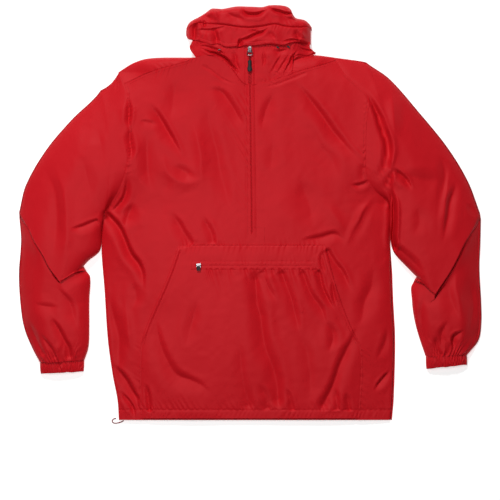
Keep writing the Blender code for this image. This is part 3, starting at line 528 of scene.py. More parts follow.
def frontHeight(x, y):
    z = bodyHeight(x, y)
    toSide = np.minimum(x - leftX(y), rightX(y) - x)
    openEdge = y < shoulders["leftUnderarm"] + 0.01
    keep = np.where(openEdge, 0.25 + 0.75 * eased(toSide / 0.016), 1.0)
    toHem = eased(y / 0.02)
    turnUp = 0.0004 * np.exp(-(((y - 0.011) / 0.009) ** 4)) + grooved(y - hemSeamY, 0.0014, 0.0008)
    strip, held = placketShape(x, y)
    upTo = eased((y - 0.372) / 0.01)
    lifted = relief(x, y) * keep * (0.45 + 0.55 * toHem) * (1 - upTo * held)
    return np.maximum(z + lifted + turnUp + upTo * strip, 0.0030)


def insidePouch(x, y):
    # metres inside the pouch's stitched outline, below zero outside it
    return np.minimum(np.minimum(x - pouchLowX(y), pouchHighX(y) - x), 0.369 - y)


def pouchHeight(x, y):
    inside = insidePouch(x, y)
    side = np.minimum(x - pouchLowX(y), pouchHighX(y) - x)
    openPart = eased((y - 0.155) / 0.03) * eased((0.364 - y) / 0.012)
    rise = 0.0006 + 0.0020 * eased(inside / 0.026) + 0.0024 * openPart * eased(1 - side / 0.022)
    rise += 0.0012 * openPart * np.exp(-(((side - 0.003) / 0.003) ** 2))
    seamIn = 0.0035 + 0.0040 * openPart
    stitched = grooved(side - seamIn, 0.0014, 0.0007) + grooved(0.3660 - y, 0.0013, 0.0010)
    zone = eased((x - pocketZip["left"] + 0.012) / 0.006) * eased((pocketZip["right"] + 0.012 - x) / 0.006)
    fromZip = np.abs(y - pocketZip["y"])
    welt = zone * (0.0006 * np.exp(-((fromZip / 0.009) ** 4)) + grooved(fromZip - 0.0088, 0.0012, 0.0006))
    return frontHeight(x, y) + rise + stitched + welt


def laid(name, x, y, z, finish, standsFor, skip=None, wrap=False, flip=False):
    # a sheet through the given rows of places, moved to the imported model's origin
    rows, columns = x.shape
    places = np.stack((x - middleX, y - middleY, z), axis=-1).reshape(-1, 3)
    index = np.arange(rows * columns).reshape(rows, columns)
    if wrap:
        index = np.concatenate((index, index[:, :1]), axis=1)
    corners = [index[:-1, :-1], index[:-1, 1:], index[1:, 1:], index[1:, :-1]]
    faces = np.stack(corners[::-1] if flip else corners, axis=-1)
    faces = faces.reshape(-1, 4) if skip is None else faces[~skip]
    used, faces = np.unique(faces, return_inverse=True)
    data = bpy.data.meshes.new(name)
    data.from_pydata(places[used].tolist(), [], faces.reshape(-1, 4).tolist())
    data.shade_smooth()
    linked(name, data, finish, standsFor)


def linked(name, data, finish, *standsFor):
    # a piece in the scene: its finish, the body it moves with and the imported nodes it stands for
    data.materials.append(finish[0])
    piece = bpy.data.objects.new(name, data)
    bpy.context.scene.collection.objects.link(piece)
    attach(piece, "garment")
    if standsFor:
        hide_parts(*standsFor)


def hemmed(x, y, z, drop=0.0008):
    # turns the outer rows down and under, so that the cloth's edge has a thickness
    x, y, z = (np.pad(a, 2, mode="symmetric") for a in (x, y, z))
    ring = np.full(z.shape, 0.0)
    ring[:1, :] = ring[-1:, :] = ring[:, :1] = ring[:, -1:] = 2 * drop
    inner = ring[1:-1, 1:-1]
    inner[:1, :] = inner[-1:, :] = inner[:, :1] = inner[:, -1:] = drop
    return x, y, z - ring


def crowded(count, near, span):
    # even shares from 0 to 1, with a few extra close to both ends
    extra = np.array(near) / span
    middle = np.linspace(extra[-1] * 1.6, 1 - extra[-1] * 1.6, count)
    return np.concatenate((extra, middle, 1 - extra[::-1]))


def denseAtEnds(count, part):
    # shares from 0 to 1 that crowd gently towards both ends
    u = np.linspace(0, 1, count)
    return (1 - np.cos(math.pi * u)) / 2 * part + u * (1 - part)


closeSteps = (0.0, 0.0006, 0.0016, 0.0030)


frontCut = {"columns": 126, "rows": 330, "hemAt": 0.002, "closedGap": 0.0002, "slitGap": 0.0009,
            "slitDrops": (0.0009, 0.0003), "underPouch": 0.0016}


def buildFront(finish):
    # two halves that meet at the zip, open above the slit's foot
    shares = crowded(frontCut["columns"], closeSteps, 0.28)
    levels = crowded(frontCut["rows"], closeSteps, 0.72)
    half = {}
    for side in (-1, 1):
        share, level = np.meshgrid(shares, levels)
        y = frontCut["hemAt"] + 0.73 * level
        for _ in range(8):
            edge = leftX(y) + 0.0002 if side < 0 else rightX(y) - 0.0002
            gap = frontCut["closedGap"] + frontCut["slitGap"] * eased((y - slotFoot) / 0.006)
            x = edge + (centreX(y) + side * gap - edge) * share
            y = frontCut["hemAt"] + (topY(x) - 0.0006 - frontCut["hemAt"]) * level
        half[side] = (x, y)
    x = np.concatenate((half[-1][0], half[1][0][:, ::-1]), axis=1)
    y = np.concatenate((half[-1][1], half[1][1][:, ::-1]), axis=1)
    z = frontHeight(x, y) - frontCut["underPouch"] * eased(insidePouch(x, y) / 0.012)
    columns = len(shares)
    inSlit = eased((y - slotFoot) / 0.006)
    for k, drop in enumerate(frontCut["slitDrops"]):
        for column in (columns - 1 - k, columns + k):
            z[:, column] -= drop * inSlit[:, column]
    x, y, z = hemmed(x, y, z)
    skip = np.zeros((x.shape[0] - 1, x.shape[1] - 1), bool)
    skip[:, columns + 1] = y[:-1, columns + 1] > slotFoot
    laid("frontPanel", x, y, z, finish, "front", skip)


pouchCut = {"columns": 240, "rowsBelowZip": 172, "rowsAboveZip": 20, "slitDrops": (0.0004, 0.0001)}


def buildPouch(finish):
    # one panel with a slit for its zip, a few close rows at every edge
    shares = crowded(pouchCut["columns"], closeSteps, 0.45)
    slot, zipY = pocketZip["halfSlot"], pocketZip["y"]
    low = np.linspace(0.0105, zipY - slot - 0.0038, pouchCut["rowsBelowZip"])
    high = np.linspace(zipY + slot + 0.0038, 0.3640, pouchCut["rowsAboveZip"])
    edges = np.array(closeSteps)
    levels = np.concatenate((0.0055 + edges, low, zipY - slot - edges[::-1][1:], [zipY - slot],
                             [zipY + slot], zipY + slot + edges[1:], high, 0.3685 - edges[::-1]))
    share, y = np.meshgrid(shares, levels)
    x = pouchLowX(y) + (pouchHighX(y) - pouchLowX(y)) * share
    z = pouchHeight(x, y)
    row = int(np.argmin(np.abs(levels - (zipY - slot))))
    middle = (x[row] + x[row + 1]) / 2
    inSlot = (middle > pocketZip["left"]) & (middle < pocketZip["right"])
    for k, drop in enumerate(pouchCut["slitDrops"]):
        z[row - k] -= drop * inSlot
        z[row + 1 + k] -= drop * inSlot
    x, y, z = hemmed(x, y, z)
    skip = np.zeros((x.shape[0] - 1, x.shape[1] - 1), bool)
    skip[row + 2, 2:-2] = inSlot[:-1] & inSlot[1:]
    laid("pouchPocket", x, y, z, finish, "pouch_pocket", skip)


# Where the back turns over each shoulder, and the seam it comes forward to: share from neck to arm, x, y.
leftRoll = [(0.0, -0.111, 0.758), (0.5, -0.205, 0.757), (0.8, -0.243, 0.747), (1.0, -0.2750, 0.727)]
leftSeam = [(0.0, -0.108, 0.7590), (0.4, -0.160, 0.7430), (0.7, -0.208, 0.7285), (1.0, -0.2600, 0.7045)]
rightRoll = [(0.0, 0.098, 0.764), (0.5, 0.140, 0.763), (1.0, 0.1770, 0.758)]
rightSeam = [(0.0, 0.054, 0.7128), (0.4, 0.104, 0.7305), (0.8, 0.155, 0.7455), (1.0, 0.1800, 0.7550)]


def tableAt(table, share):
    return tuple(curveThrough([(row[0], row[k]) for row in table])(share) for k in (1, 2))


def buildBack(finish):
    # flat under the front, then rolled over each shoulder to the forward seam
    columns = [("left", s) for s in np.linspace(1, 0, 56)] + [("neck", s) for s in np.linspace(0.1, 0.9, 9)]
    columns += [("right", s) for s in np.linspace(0, 1, 60)]
    levels = np.concatenate((closeSteps, np.linspace(0.006, 1, 90)))
    wraps = np.concatenate((np.linspace(0, 1, 31) ** 1.6 * 0.93, [0.955, 0.975, 1.0]))
    placed = []
    rolls = {"left": (leftRoll, leftSeam), "right": (rightRoll, rightSeam)}
    for kind, share in columns:
        if kind == "neck":
            turnX, turnY = leftRoll[0][1] + (rightRoll[0][1] - leftRoll[0][1]) * share, 0.752
        else:
            turnX, turnY = tableAt(rolls[kind][0], share)
            turnY -= 0.012
        across = float(np.clip((turnX - leftX(turnY)) / (rightX(turnY) - leftX(turnY)), 0, 1))
        if kind != "neck" and share == 1.0:
            across = 0.0 if kind == "left" else 1.0
        y = 0.002 + (turnY - 0.002) * levels
        low, high = leftX(y) + 0.0012, rightX(y) - 0.0004 + 0.0045 * (1 - eased((y - 0.30) / 0.08))
        x = low + (high - low) * across
        edge = 1 - abs(2 * across - 1)
        z = 0.0008 + 0.0004 * np.sin(y * 170) * (edge < 0.02)
        if kind == "neck":
            wx, wy, wz = np.full(34, x[-1]), np.full(34, y[-1]), np.full(34, 0.0008)
        else:
            rollX, rollY = tableAt(rolls[kind][0], share)
            seamX, seamY = tableAt(rolls[kind][1], share)
            seamY = float(topY(seamX)) - 0.0025
            underarm, shoulder = shoulders[kind + "Underarm"], shoulders[kind + "Top"]
            line = leftX if kind == "left" else rightX
            wx, wy = rollX + (seamX - rollX) * wraps, rollY + (seamY - rollY) * wraps
            if share == 1.0:
                wx = line(wy) + (0.0002 if kind == "left" else -0.0002)
            top = frontHeight(wx, np.minimum(wy, topY(wx))) - relief(wx, np.minimum(wy, topY(wx)))
            plain = top * (0.25 + 0.75 * (1 - (1 - wraps) ** 2.4) ** 0.5)
            ofTube = armholeTop((shoulder - wy) / (shoulder - underarm), armHeight)
            wz = plain + (ofTube - plain) * eased((share - 0.6) / 0.4)
            wz = wz + relief(wx, wy) * eased(wraps / 0.3)
            wz = wz - 0.0013 * eased((topY(wx) + 0.0006 - wy) / 0.0012)
        placed.append([np.concatenate(pair) for pair in ((x, wx), (y, wy), (z, wz))])
    x, y, z = np.array(placed).transpose(1, 2, 0)
    skip = np.zeros((x.shape[0] - 1, x.shape[1] - 1), bool)
    skip[len(levels) - 1 :, 55:65] = True
    laid("backPanel", x, y, z, finish, "back", skip, flip=True)


# Sleeve sections from armhole to cuff, in mm: outer x, y, inner x, y, bow of the line between (x, y), height.
# elbow is the row where the upper layer ends, apex is where across it the fold points down.
leftSleeve = {
    "sections": [
        (-275.5, 727, -308.5, 434, 0, 0, 38),
        (-312, 690, -309, 412, 22, 0, 40),
        (-374, 627, -309.6, 385, 0, -2, 41),
        (-426, 565, -313, 355, 0, -18, 41),
        (-468, 492, -337, 334, 6, -48, 40),
        (-482, 436, -347, 323, 0, -78, 38),
        (-481.5, 424, -341.5, 313, 0, -78, 36),
        (-478, 378, -333, 299, 4, -60, 36),
        (-482.5, 305, -335, 253, 0, -30, 33),
        (-478, 232, -335, 200, 0, -8, 33),
        (-470, 190, -335.5, 170, 0, 0, 31),
        (-453, 149, -338, 149, 0, 0, 26),
        (-438.8, 122.8, -345.2, 127.8, 0, 0, 20.2),
    ],
    "elbow": 6, "apex": 0.64, "way": -1,
}
rightSleeve = {
    "sections": [
        (177.5, 758, 291.5, 454, 0, 0, 38),
        (242, 749, 292, 430, 22, 0, 40),
        (291, 714, 292.2, 405, 10, 0, 41),
        (352, 645, 292.8, 378, 0, -8, 41),
        (412, 571, 301, 350, -6, -26, 41),
        (456, 498, 332, 316, -8, -56, 40),
        (480, 434, 347, 301, 0, -80, 38),
        (482, 421, 341.5, 291, 0, -80, 33),
        (481, 374, 336, 278, -6, -66, 31),
        (479, 318, 337.5, 254, -4, -46, 33),
        (482.5, 250, 340, 228, 0, -22, 33),
        (483, 205, 346, 198, 0, -8, 31),
        (477, 168, 355, 168, 0, 0, 26),
        (453.3, 137.8, 366.2, 135.8, 0, 0, 20.2),
    ],
    "elbow": 7, "apex": 0.68, "way": 1,
}


def buildSleeve(name, values, finish, nodeName):
    # one tube; its upper layer is folded back under itself at the elbow
    sections = np.array(values["sections"]) / 1000
    sections[0, [0, 2, 4]] = sections[1, [0, 2, 4]]  # the armhole line takes over from these across there
    elbow, apex, way = values["elbow"], values["apex"], values["way"]
    line, gap = (leftX, 0.0015) if way < 0 else (rightX, -0.0015)
    rows = []  # section values, how sharp the bow is, tuck under the lip, distance to the cuff end
    for part, count in ((sections[:elbow], 132), (sections[elbow:], 112)):
        mids = (part[:, 0:2] + part[:, 2:4]) / 2
        place = np.concatenate(([0.0], np.cumsum(np.hypot(*np.diff(mids, axis=0).T))))
        at = np.linspace(0, place[-1], count)
        smoothRows = np.stack([curveThrough(list(zip(place, part[:, k])))(at) for k in range(7)], axis=1)
        upper = not rows
        sharp = eased(1 - ((place[-1] - at) if upper else at) / 0.10)
        if not upper:
            rows += [(smoothRows[0], 1.0, 1.0, 9.0, k) for k in (1, 2, 3)]
        rows += [(r, s, np.clip(a / place[1], 0, 1) if upper else 1.0, 9.0 if upper else place[-1] - a, 0)
                 for r, s, a in zip(smoothRows, sharp, at)]
    across = denseAtEnds(118, 0.35)
    under = np.linspace(1, 0, 40)[1:-1]
    table = np.array([r[0] for r in rows])
    sharp, away, toCuff, tuckRow = (np.array([r[k] for r in rows])[:, None] for k in (1, 2, 3, 4))

    def tucked(values):
        # a value for each of the three rows that go in under the fold's lip
        return np.select([tuckRow == 1, tuckRow == 2, tuckRow == 3], values, 0.0)

    def plan(t):
        t = np.broadcast_to(t[None, :], (len(rows), len(t)))
        soft = np.sin(math.pi * t)
        vee = np.where(t < apex, t / apex, (1 - t) / (1 - apex))
        vee = np.minimum(vee, 1.0) * 0.93 + 0.07 * soft
        bow = soft * (1 - sharp) + vee * sharp
        x = table[:, 0:1] + t * (table[:, 2:3] - table[:, 0:1]) + table[:, 4:5] * bow
        y = table[:, 1:2] + t * (table[:, 3:4] - table[:, 1:2]) + table[:, 5:6] * bow
        y = y + tucked((0.012, 0.020, 0.012)) * np.minimum(soft * 2, 1)
        inside = np.minimum(soft * 1.5, 1) * eased(away)
        x, y = x + 0.0030 * inside * cloudy(x, y, 0.050, 44), y + 0.0035 * inside * cloudy(x, y, 0.045, 45)
        x = (line(y) + gap) * (1 - away) + x * away
        return t, x, y

    t, x, y = plan(across)
    fromArmhole = eased(away)
    z = armholeTop(t, table[:, 6:7]) * (1 - fromArmhole) + tubeTop(t, table[:, 6:7]) * fromArmhole
    z = z - 0.012 * eased(1 - t / 0.36) * fromArmhole * eased(toCuff / 0.05)
    keep = np.maximum(eased(np.minimum(t / 0.10, (1 - t) / 0.04)), 1 - fromArmhole)
    z = z + relief(x, y) * keep - 0.0009 * (1 - eased(away / 0.04))
    gathers = (0.0016 * np.sin(2 * math.pi * (t * 13 + 1.3 * cloudy(t, toCuff * 3, 0.12, 41)))
               * (0.7 + 0.6 * cloudy(t, toCuff * 0.5, 0.06, 42)))
    reach = 0.016 + 0.022 * (0.5 + 0.5 * cloudy(t, 0 * t, 0.05, 43))
    z = z + gathers * np.exp(-((toCuff / reach) ** 1.6)) * keep
    z = z + tucked((0.0030, 0.0008, -0.0004)) * np.minimum(np.sin(math.pi * t) * 2, 1)
    z = np.maximum(z, 0.0035)
    s, ux, uy = plan(under)
    uz = 0.0006 + table[:, 6:7] * 0.25 * np.abs(2 * s - 1) ** 10
    x, y, z = (np.concatenate(pair, axis=1) for pair in ((x, ux), (y, uy), (z, uz)))
    laid(name, x, y, z, finish, nodeName, wrap=True, flip=way < 0)


# Cuff sections from sleeve to open end, in mm: outer x, y, inner x, y, height.
leftCuff = [(-438, 126.2, -346, 131.2, 18.4), (-438.2, 110.5, -346, 115, 17.2), (-437, 99, -347, 103, 16)]
rightCuff = [(452.5, 141.2, 367, 139.2, 18.4), (453.2, 126.5, 367, 121.5, 17.2), (453, 117, 368, 109, 16)]


cuffRibs = {"count": 21, "height": 0.0012, "under": 0.4}


def buildCuff(name, sections, finish, nodeName, seed, way):
    # an elastic casing: close uneven ribs all round, the open end turned in
    sections = np.array(sections) / 1000
    at = np.concatenate((np.linspace(0, 1, 16), [1.0, 0.97, 0.90, 0.70, 0.45]))
    inward = np.array([0.0] * 16 + [0.0009, 0.0019, 0.0024, 0.0026, 0.0026])[:, None]
    table = np.stack([curveThrough(list(zip((0, 0.5, 1), sections[:, k])))(at) for k in range(5)], axis=1)
    swell = (0.0010 * np.sin(math.pi * np.clip(at, 0, 1)))[:, None]
    parts = []
    for t, upper in ((np.linspace(0, 1, 150), True), (np.linspace(1, 0, 110)[1:-1], False)):
        t = np.broadcast_to(t[None, :], (len(at), len(t)))
        share = at[:, None] + 0 * t
        x = table[:, 0:1] + t * (table[:, 2:3] - table[:, 0:1])
        y = table[:, 1:2] + t * (table[:, 3:4] - table[:, 1:2])
        ribs = np.sin(2 * math.pi * (t * cuffRibs["count"] + 1.1 * cloudy(t, share * 0.1, 0.07, seed)))
        ribs = cuffRibs["height"] * ribs * (0.65 + 0.35 * cloudy(t, share * 0.06, 0.04, seed + 1))
        if upper:
            z = tubeTop(t, table[:, 4:5]) + ribs * eased(np.minimum(t, 1 - t) / 0.05) + swell - inward
        else:
            z = 0.0010 + table[:, 4:5] * 0.25 * np.abs(2 * t - 1) ** 10 + inward
            z = z + cuffRibs["under"] * np.abs(ribs)
        x = x - (0.5 - t) * 2 * inward * way
        y = y + 0.0008 * cloudy(t, share, 0.11, seed + 2) * share
        parts.append((x, y, z))
    x, y, z = (np.concatenate([p[k] for p in parts], axis=1) for k in range(3))
    laid(name, x, y, z, finish, nodeName, wrap=True, flip=way < 0)


# The hood's outlines, x and y: back of the heap, crease in front of it, face edge, neck seams.
crownBack = inPairs(
    -133, 818, -129, 826.5, -123, 832.5, -104, 843, -93.5, 849.5, -81, 858.5, -70, 859, -58, 858.2,
    -29, 863, 0, 862.8, 25, 862.2, 41.6, 866, 72.8, 864.2, 85, 857, 90, 846, 95.7, 839.2, 114.4, 835,
    124, 827, 129, 819.5
)
crownFront = inPairs(
    -133, 813, -115, 828, -83, 826.5, -52, 823.5, -21, 818.8, 0, 817.6, 25, 820.5, 52, 825, 73, 820.5,
    104, 818.2, 125, 822, 129, 818
)
bandLow = inPairs(
    -134, 805, -129, 796.5, -113, 792.5, -91.5, 785.2, -79, 781.5, -69, 785, -50, 777.5, -21, 779, 0, 780,
    41.6, 783, 73, 781.5, 83, 785.5, 104, 789.5, 120, 788, 126.5, 785
)
leftNeck = inPairs(-124, 758, -105, 761, -83, 766.5, -58, 755.5, -37, 736.5, -21, 717, -3, 705.5)
rightNeck = inPairs(3, 705.5, 14, 705.5, 50, 715, 71, 736.5, 85, 752.5, 99, 765.5, 120, 764, 137, 772)
hoodFolds = [
    (3.6, 7.5, 0, -22, 866, -13.5, 853, 0, 847.8, 20.8, 848.6, 40, 857),
    (3.2, 8.5, 0, 34, 860, 62.4, 852, 87.4, 847.6, 98, 840),
    (6, -3, 0, -81, 862, -72.8, 845.5, -64.5, 827),
    (9, 3.6, 0, -100, 846, -88, 840, -78, 832),
    (6.5, 2.6, 0, -54, 858, -37.4, 843.4, -6, 836),
    (7, 4, 0, 56, 846, 80, 839, 106, 832),
    (5.5, 6, 0, -78, 820, -70.7, 797.7, -68, 780),
    (5.5, 8.5, 0, -111, 838, -114.4, 814, -117, 786),
    (2.6, 4.5, 0, -94, 834, -93.6, 826, -93, 817),
    (2.6, 4, 0, -102, 834, -103, 826, -101, 816),
    (3.4, 3, 0, -118, 813, -90, 814, -70, 816, -46, 822),
    (3.2, 6, 0, 42, 821, 25, 810, 0, 799.7, -16.6, 791.4, -24, 780),
    (4.2, 7, 2, -15, 796, -20, 788, -21.5, 777),
    (4, 2.6, 0, -2, 817.5, 12.5, 808.5, 31, 813),
    (6, 2.6, 0, 40, 816, 46, 805, 56, 792),
    (4.8, 4, 0, 94, 816, 99, 804, 103, 789),
    (2.6, 4, 0, 64, 787, 83, 793, 104, 792, 124, 785),
    (4, -2.4, 0, 102, 812, 110, 803, 116, 794),
    (4, 3, 0, -34, 772, -28, 745, -20, 722),
    (2.8, 10.5, 0, -108, 777, -83, 770.5, -58, 760, -37, 742.5, -18, 719),
    (4, 4, 0, -112, 782, -83, 778, -62, 768, -40, 748),
    (3.6, 6.2, 0, 100, 774, 84, 750, 68, 718),
    (3, 2.4, 0, 83, 765, 66, 740, 50, 722),
    (3.4, 2.4, 0, 68, 768, 55, 745, 40, 722),
    (3, 2, 0, 28, 772, 30, 755, 26, 735),
    (4, 3, 0, 46, 774.5, 64, 770.5, 84, 774),
    (3, 3, 0, 100, 780, 112, 773.5, 134, 770),
]
hoodPuckers = [
    (7, 0.6, 7, 0.4, 0, 51, -120, 787.5, -80, 780, -20, 777, 40, 781, 120, 786),
    (8, 0.6, 8, 0.5, 0, 52, -130, 820, -60, 823, 0, 817, 60, 823, 125, 820),
    (12, 0.7, 8, 0.7, 0, 53, 20, 708, 50, 716, 80, 745, 99, 766),
    (8, 0.6, 8, 0.7, 0, 54, -83, 764, -50, 747, -21, 715),
]
hoodFoldDepth = 1.22  # how much the hood's folds are deepened
crownBackY, crownFrontY, bandLowY = curveThrough(crownBack), curveThrough(crownFront), curveThrough(bandLow)


def hoodRelief(x, y):
    # what the hood's cloth does above its plain shape
    wx = x + 0.0016 * cloudy(x, y, 0.014, 61)
    wy = y + 0.0016 * cloudy(x, y, 0.016, 62)
    soft = 0.0018 * cloudy(wx, wy, 0.026, 63) + 0.0007 * cloudy(wx, wy, 0.010, 64)
    return soft + hoodFoldDepth * folded(wx, wy, hoodFolds) + puckered(x, y, hoodPuckers)


def rimRound(away, reach):
    return np.sqrt(1 - (1 - np.clip(away / reach, 0, 1)) ** 2)


def sideSkirt(x, y, z, end, steps, inner=0):
    # columns that carry an end down to the surface: each step is a share of the height and a shift inwards
    inward = 1 if end == 0 else -1
    for share, shift in steps:
        column = (x[:, end] + inward * shift, y[:, end], z[:, end + inward * inner] * share)
        pairs = [(c[:, None], a) if end == 0 else (a, c[:, None]) for c, a in zip(column, (x, y, z))]
        x, y, z = (np.hstack(pair) for pair in pairs)
    return x, y, z


def turnedUnder(x, y, z, rows):
    # rows under the front edge: each step is how far back and how far down from the edge
    edge = x[0], y[0], z[0]
    for back, drop in rows:
        x, y, z = (np.vstack(pair) for pair in ((edge[0], x), (edge[1] + back, y), (edge[2] - drop, z)))
    return x, y, z


crown = {
    "left": -0.1330, "right": 0.1290, "highest": 0.0462, "lowest": 0.006,
    "profile": inPairs(-133, 18, -120, 31, -100, 38, -70, 42.5, 0, 44, 60, 44, 86, 41, 100, 36, 118, 31,
                       129, 18),
    # rim rows below the back edge: share of the height, how far inwards
    "rim": ((0.80, 0.0008), (0.62, -0.0012), (0.50, 0.0030), (0.42, 0.0002), (0.26, 0.0040), (0.15, 0.0010),
            (0.03, 0.0055)),
}


def buildCrown(finish):
    # the back of the hood, heaped: creases in its top, its rim rolled down in layers
    v = np.concatenate((np.linspace(0, 0.14, 12), np.linspace(0.16, 0.86, 40), np.linspace(0.88, 1, 14)))
    share, level = np.meshgrid(denseAtEnds(250, 0.4), v)
    x = crown["left"] + (crown["right"] - crown["left"]) * share
    low, high = crownFrontY(x), crownBackY(x)
    y = low + (high - low) * level
    toRim = np.minimum(high - y, np.minimum(x - crown["left"], crown["right"] - x))
    z = curveThrough(crown["profile"])(x) * (0.45 + 0.55 * rimRound(toRim, 0.013))
    fromCrease = y - low
    z = z - 0.0075 * (1 - rimRound(fromCrease, 0.006)) * eased((crown["right"] - np.abs(x)) / 0.02)
    z = z + hoodRelief(x, y) * eased(toRim / 0.006) * eased(fromCrease / 0.004)
    z = np.clip(z, crown["lowest"], crown["highest"])
    lastX, lastY, lastZ = x[-1], y[-1], z[-1]
    wave = 0.0012 * cloudy(lastX, np.zeros(lastX.shape), 0.020, 71)
    x, y, z = turnedUnder(x, y, z, ((-0.003, 0.004), (-0.005, 0.010)))
    x = np.vstack([x] + [lastX for _ in crown["rim"]])
    y = np.vstack([y] + [lastY - inward - wave * (1 - part) for part, inward in crown["rim"]])
    z = np.vstack([z] + [lastZ * part for part, _ in crown["rim"]])
    laid("hoodCrown", x, y, np.maximum(z, 0.0006), finish, "hood_crown")


band = {
    "left": -0.1335, "right": 0.1270, "channel": 0.0085,
    "profile": inPairs(-133.5, 16, -120, 27, -100, 36, -60, 40.5, 0, 42, 60, 42, 90, 40, 110, 35, 127, 20),
    "skirt": ((0.7, 0.0004), (0.45, 0.0026), (0.25, 0.0008), (0.04, 0.0035)),
}


def bandPlain(x):
    # distance to the band's nearer end, and its height without folds
    toEnd = np.minimum(x - band["left"], band["right"] - x)
    return toEnd, curveThrough(band["profile"])(x) * (0.45 + 0.55 * rimRound(toEnd, 0.010))


def bandTop(x, y):
    # height of the hood's band along its own topstitch
    return bandPlain(x)[1] + hoodRelief(x, y) - 0.0008


def buildBand(finish):
    # the face opening's turned edge and the gathered cloth above it
    v = np.concatenate((np.linspace(0, 0.2, 14), np.linspace(0.23, 0.85, 32), np.linspace(0.87, 1, 10)))
    share, level = np.meshgrid(denseAtEnds(250, 0.4), v)
    x = band["left"] + (band["right"] - band["left"]) * share
    low = bandLowY(x)
    high = np.maximum(crownFrontY(x) + 0.0015, low + 0.006)
    y = low + (high - low) * level
    toEnd, z = bandPlain(x)
    z = z - 0.0070 * (1 - rimRound(y - low, 0.0035)) - 0.0060 * (1 - rimRound(high - y, 0.004))
    z = z + hoodRelief(x, y) * eased(toEnd / 0.006) * eased((y - low) / 0.003)
    z = np.clip(z + grooved(y - low - band["channel"], 0.0011, 0.0006), crown["lowest"], crown["highest"])
    x, y, z = turnedUnder(x, y, z, ((0.002, 0.0012), (0.004, 0.0030)))
    for end in (0, -1):
        x, y, z = sideSkirt(x, y, z, end, band["skirt"], inner=2)
    laid("hoodBand", x, y, z, finish, "hood_face_edge")


hoodLeftEdge = curveThrough(inPairs(
    754, -111, 762.3, -116.5, 772.7, -123.8, 781, -125.8, 788, -122.2, 793.5, -120, 800, -124))
hoodSide = {"columns": 96, "rows": 46, "belowSeam": 0.0065, "zipGap": 0.0022,
            "skirt": ((0.7, 0.0003), (0.4, 0.0009), (0.08, 0.0003))}


def sideHeight(x, y):
    levelX = np.clip(x, -0.085, 0.085)
    base = bodyHeight(levelX, y) - 0.012 * eased((np.abs(x) - 0.085) / 0.04)
    strip, held = placketShape(x, y)
    return base + 0.0006 + hoodRelief(x, y) * (1 - held) + strip


def buildHoodSide(name, neck, way, finish, nodeName):
    # the hood's lower front on one side of the zip, from under the neck seam to under the face edge
    neckY = curveThrough(neck)
    first = neck[-1][0] if way < 0 else neck[0][0]
    last = neck[0][0] if way < 0 else neck[-1][0]
    share, level = np.meshgrid(crowded(hoodSide["columns"], closeSteps, 0.12),
                               crowded(hoodSide["rows"], closeSteps[:3], 0.07))
    x = first + (last - first) * share
    low = np.minimum(neckY(x), np.where(x < 0.09, topY(x), neckY(x))) - hoodSide["belowSeam"]
    high = np.maximum(bandLowY(x) + 0.004, low + 0.008)
    if way > 0:  # the small corner that stands out over the shoulder
        high = np.where(x > 0.124, low + 0.004 + (0.0137 * eased((0.137 - x) / 0.013)), high)
    y = low + (high - low) * level
    if way < 0:
        x = first + (x - first) * (hoodLeftEdge(y) - first) / (last - first)
    z = sideHeight(x, y)
    toEnd = np.abs(last - x)
    z = z * (0.55 + 0.45 * rimRound(toEnd, 0.010)) - 0.0022 * (1 - eased((y - low - 0.0030) / 0.0022))
    x = np.where(np.abs(x - first) < 1e-6, centreX(y) + way * hoodSide["zipGap"], x)
    z = np.where(np.abs(share) < 0.006, z - 0.0010, z)
    if way < 0:
        x, y, z = (a[:, ::-1] for a in (x, y, z))
    x, y, z = hemmed(x, y, z)
    x, y, z = sideSkirt(x, y, z, 0 if way < 0 else -1, hoodSide["skirt"])
    laid(name, x, y, z, finish, nodeName)


zipTape = {"halfWidth": 0.009, "below": 0.0006, "pocketBelow": 0.0003, "rib": 0.00012, "ribSpacing": 0.0015}


def buildTapes(finish):
    # woven tape either side of a closed coil that faces inwards: only the join shows, as a groove
    y = np.linspace(zipFoot, zipHead, 240)[:, None]
    wide, perRib = zipTape["halfWidth"], 2 * math.pi / zipTape["ribSpacing"]
    aside = np.concatenate((np.linspace(-wide, -0.0012, 8), [-0.0007, -0.0003, 0.0, 0.0003, 0.0007],
                            np.linspace(0.0012, wide, 8)))[None, :]
    x = centreX(y) + aside
    y = y + 0 * x
    hood = eased((y - 0.702) / 0.006)
    surface = frontHeight(x, np.minimum(y, 0.700)) * (1 - hood) + sideHeight(x, np.maximum(y, 0.702)) * hood
    z = surface - zipTape["below"] + grooved(aside, 0.0006, 0.0006) + zipTape["rib"] * np.sin(y * perRib)
    laid("frontZipTape", x, y, z, finish, "front_zip_tape")

    x = np.linspace(pocketZip["left"] - 0.006, pocketZip["right"] + 0.006, 190)[None, :]
    aside = aside.T
    y = pocketZip["y"] + aside
    x = x + 0 * y
    y = y + 0 * x
    z = pouchHeight(x, y) - zipTape["pocketBelow"] - 0.0012 * eased((np.abs(aside) - 0.0012) / 0.0015)
    z = z + grooved(aside, 0.0006, 0.0004) + zipTape["rib"] * np.sin(x * perRib)
    laid("pocketZipTape", x, y, z, finish, "pocket_zip_tape")


stitch = {"length": 0.0026, "gap": 0.0009, "radius": 0.00028, "lift": 0.00015, "sink": 0.0003}
seamInset = {"placket": 0.0085, "pouch": 0.0035, "opening": 0.0075, "welt": 0.0088, "armhole": 0.0055,
             "shoulder": 0.0050}


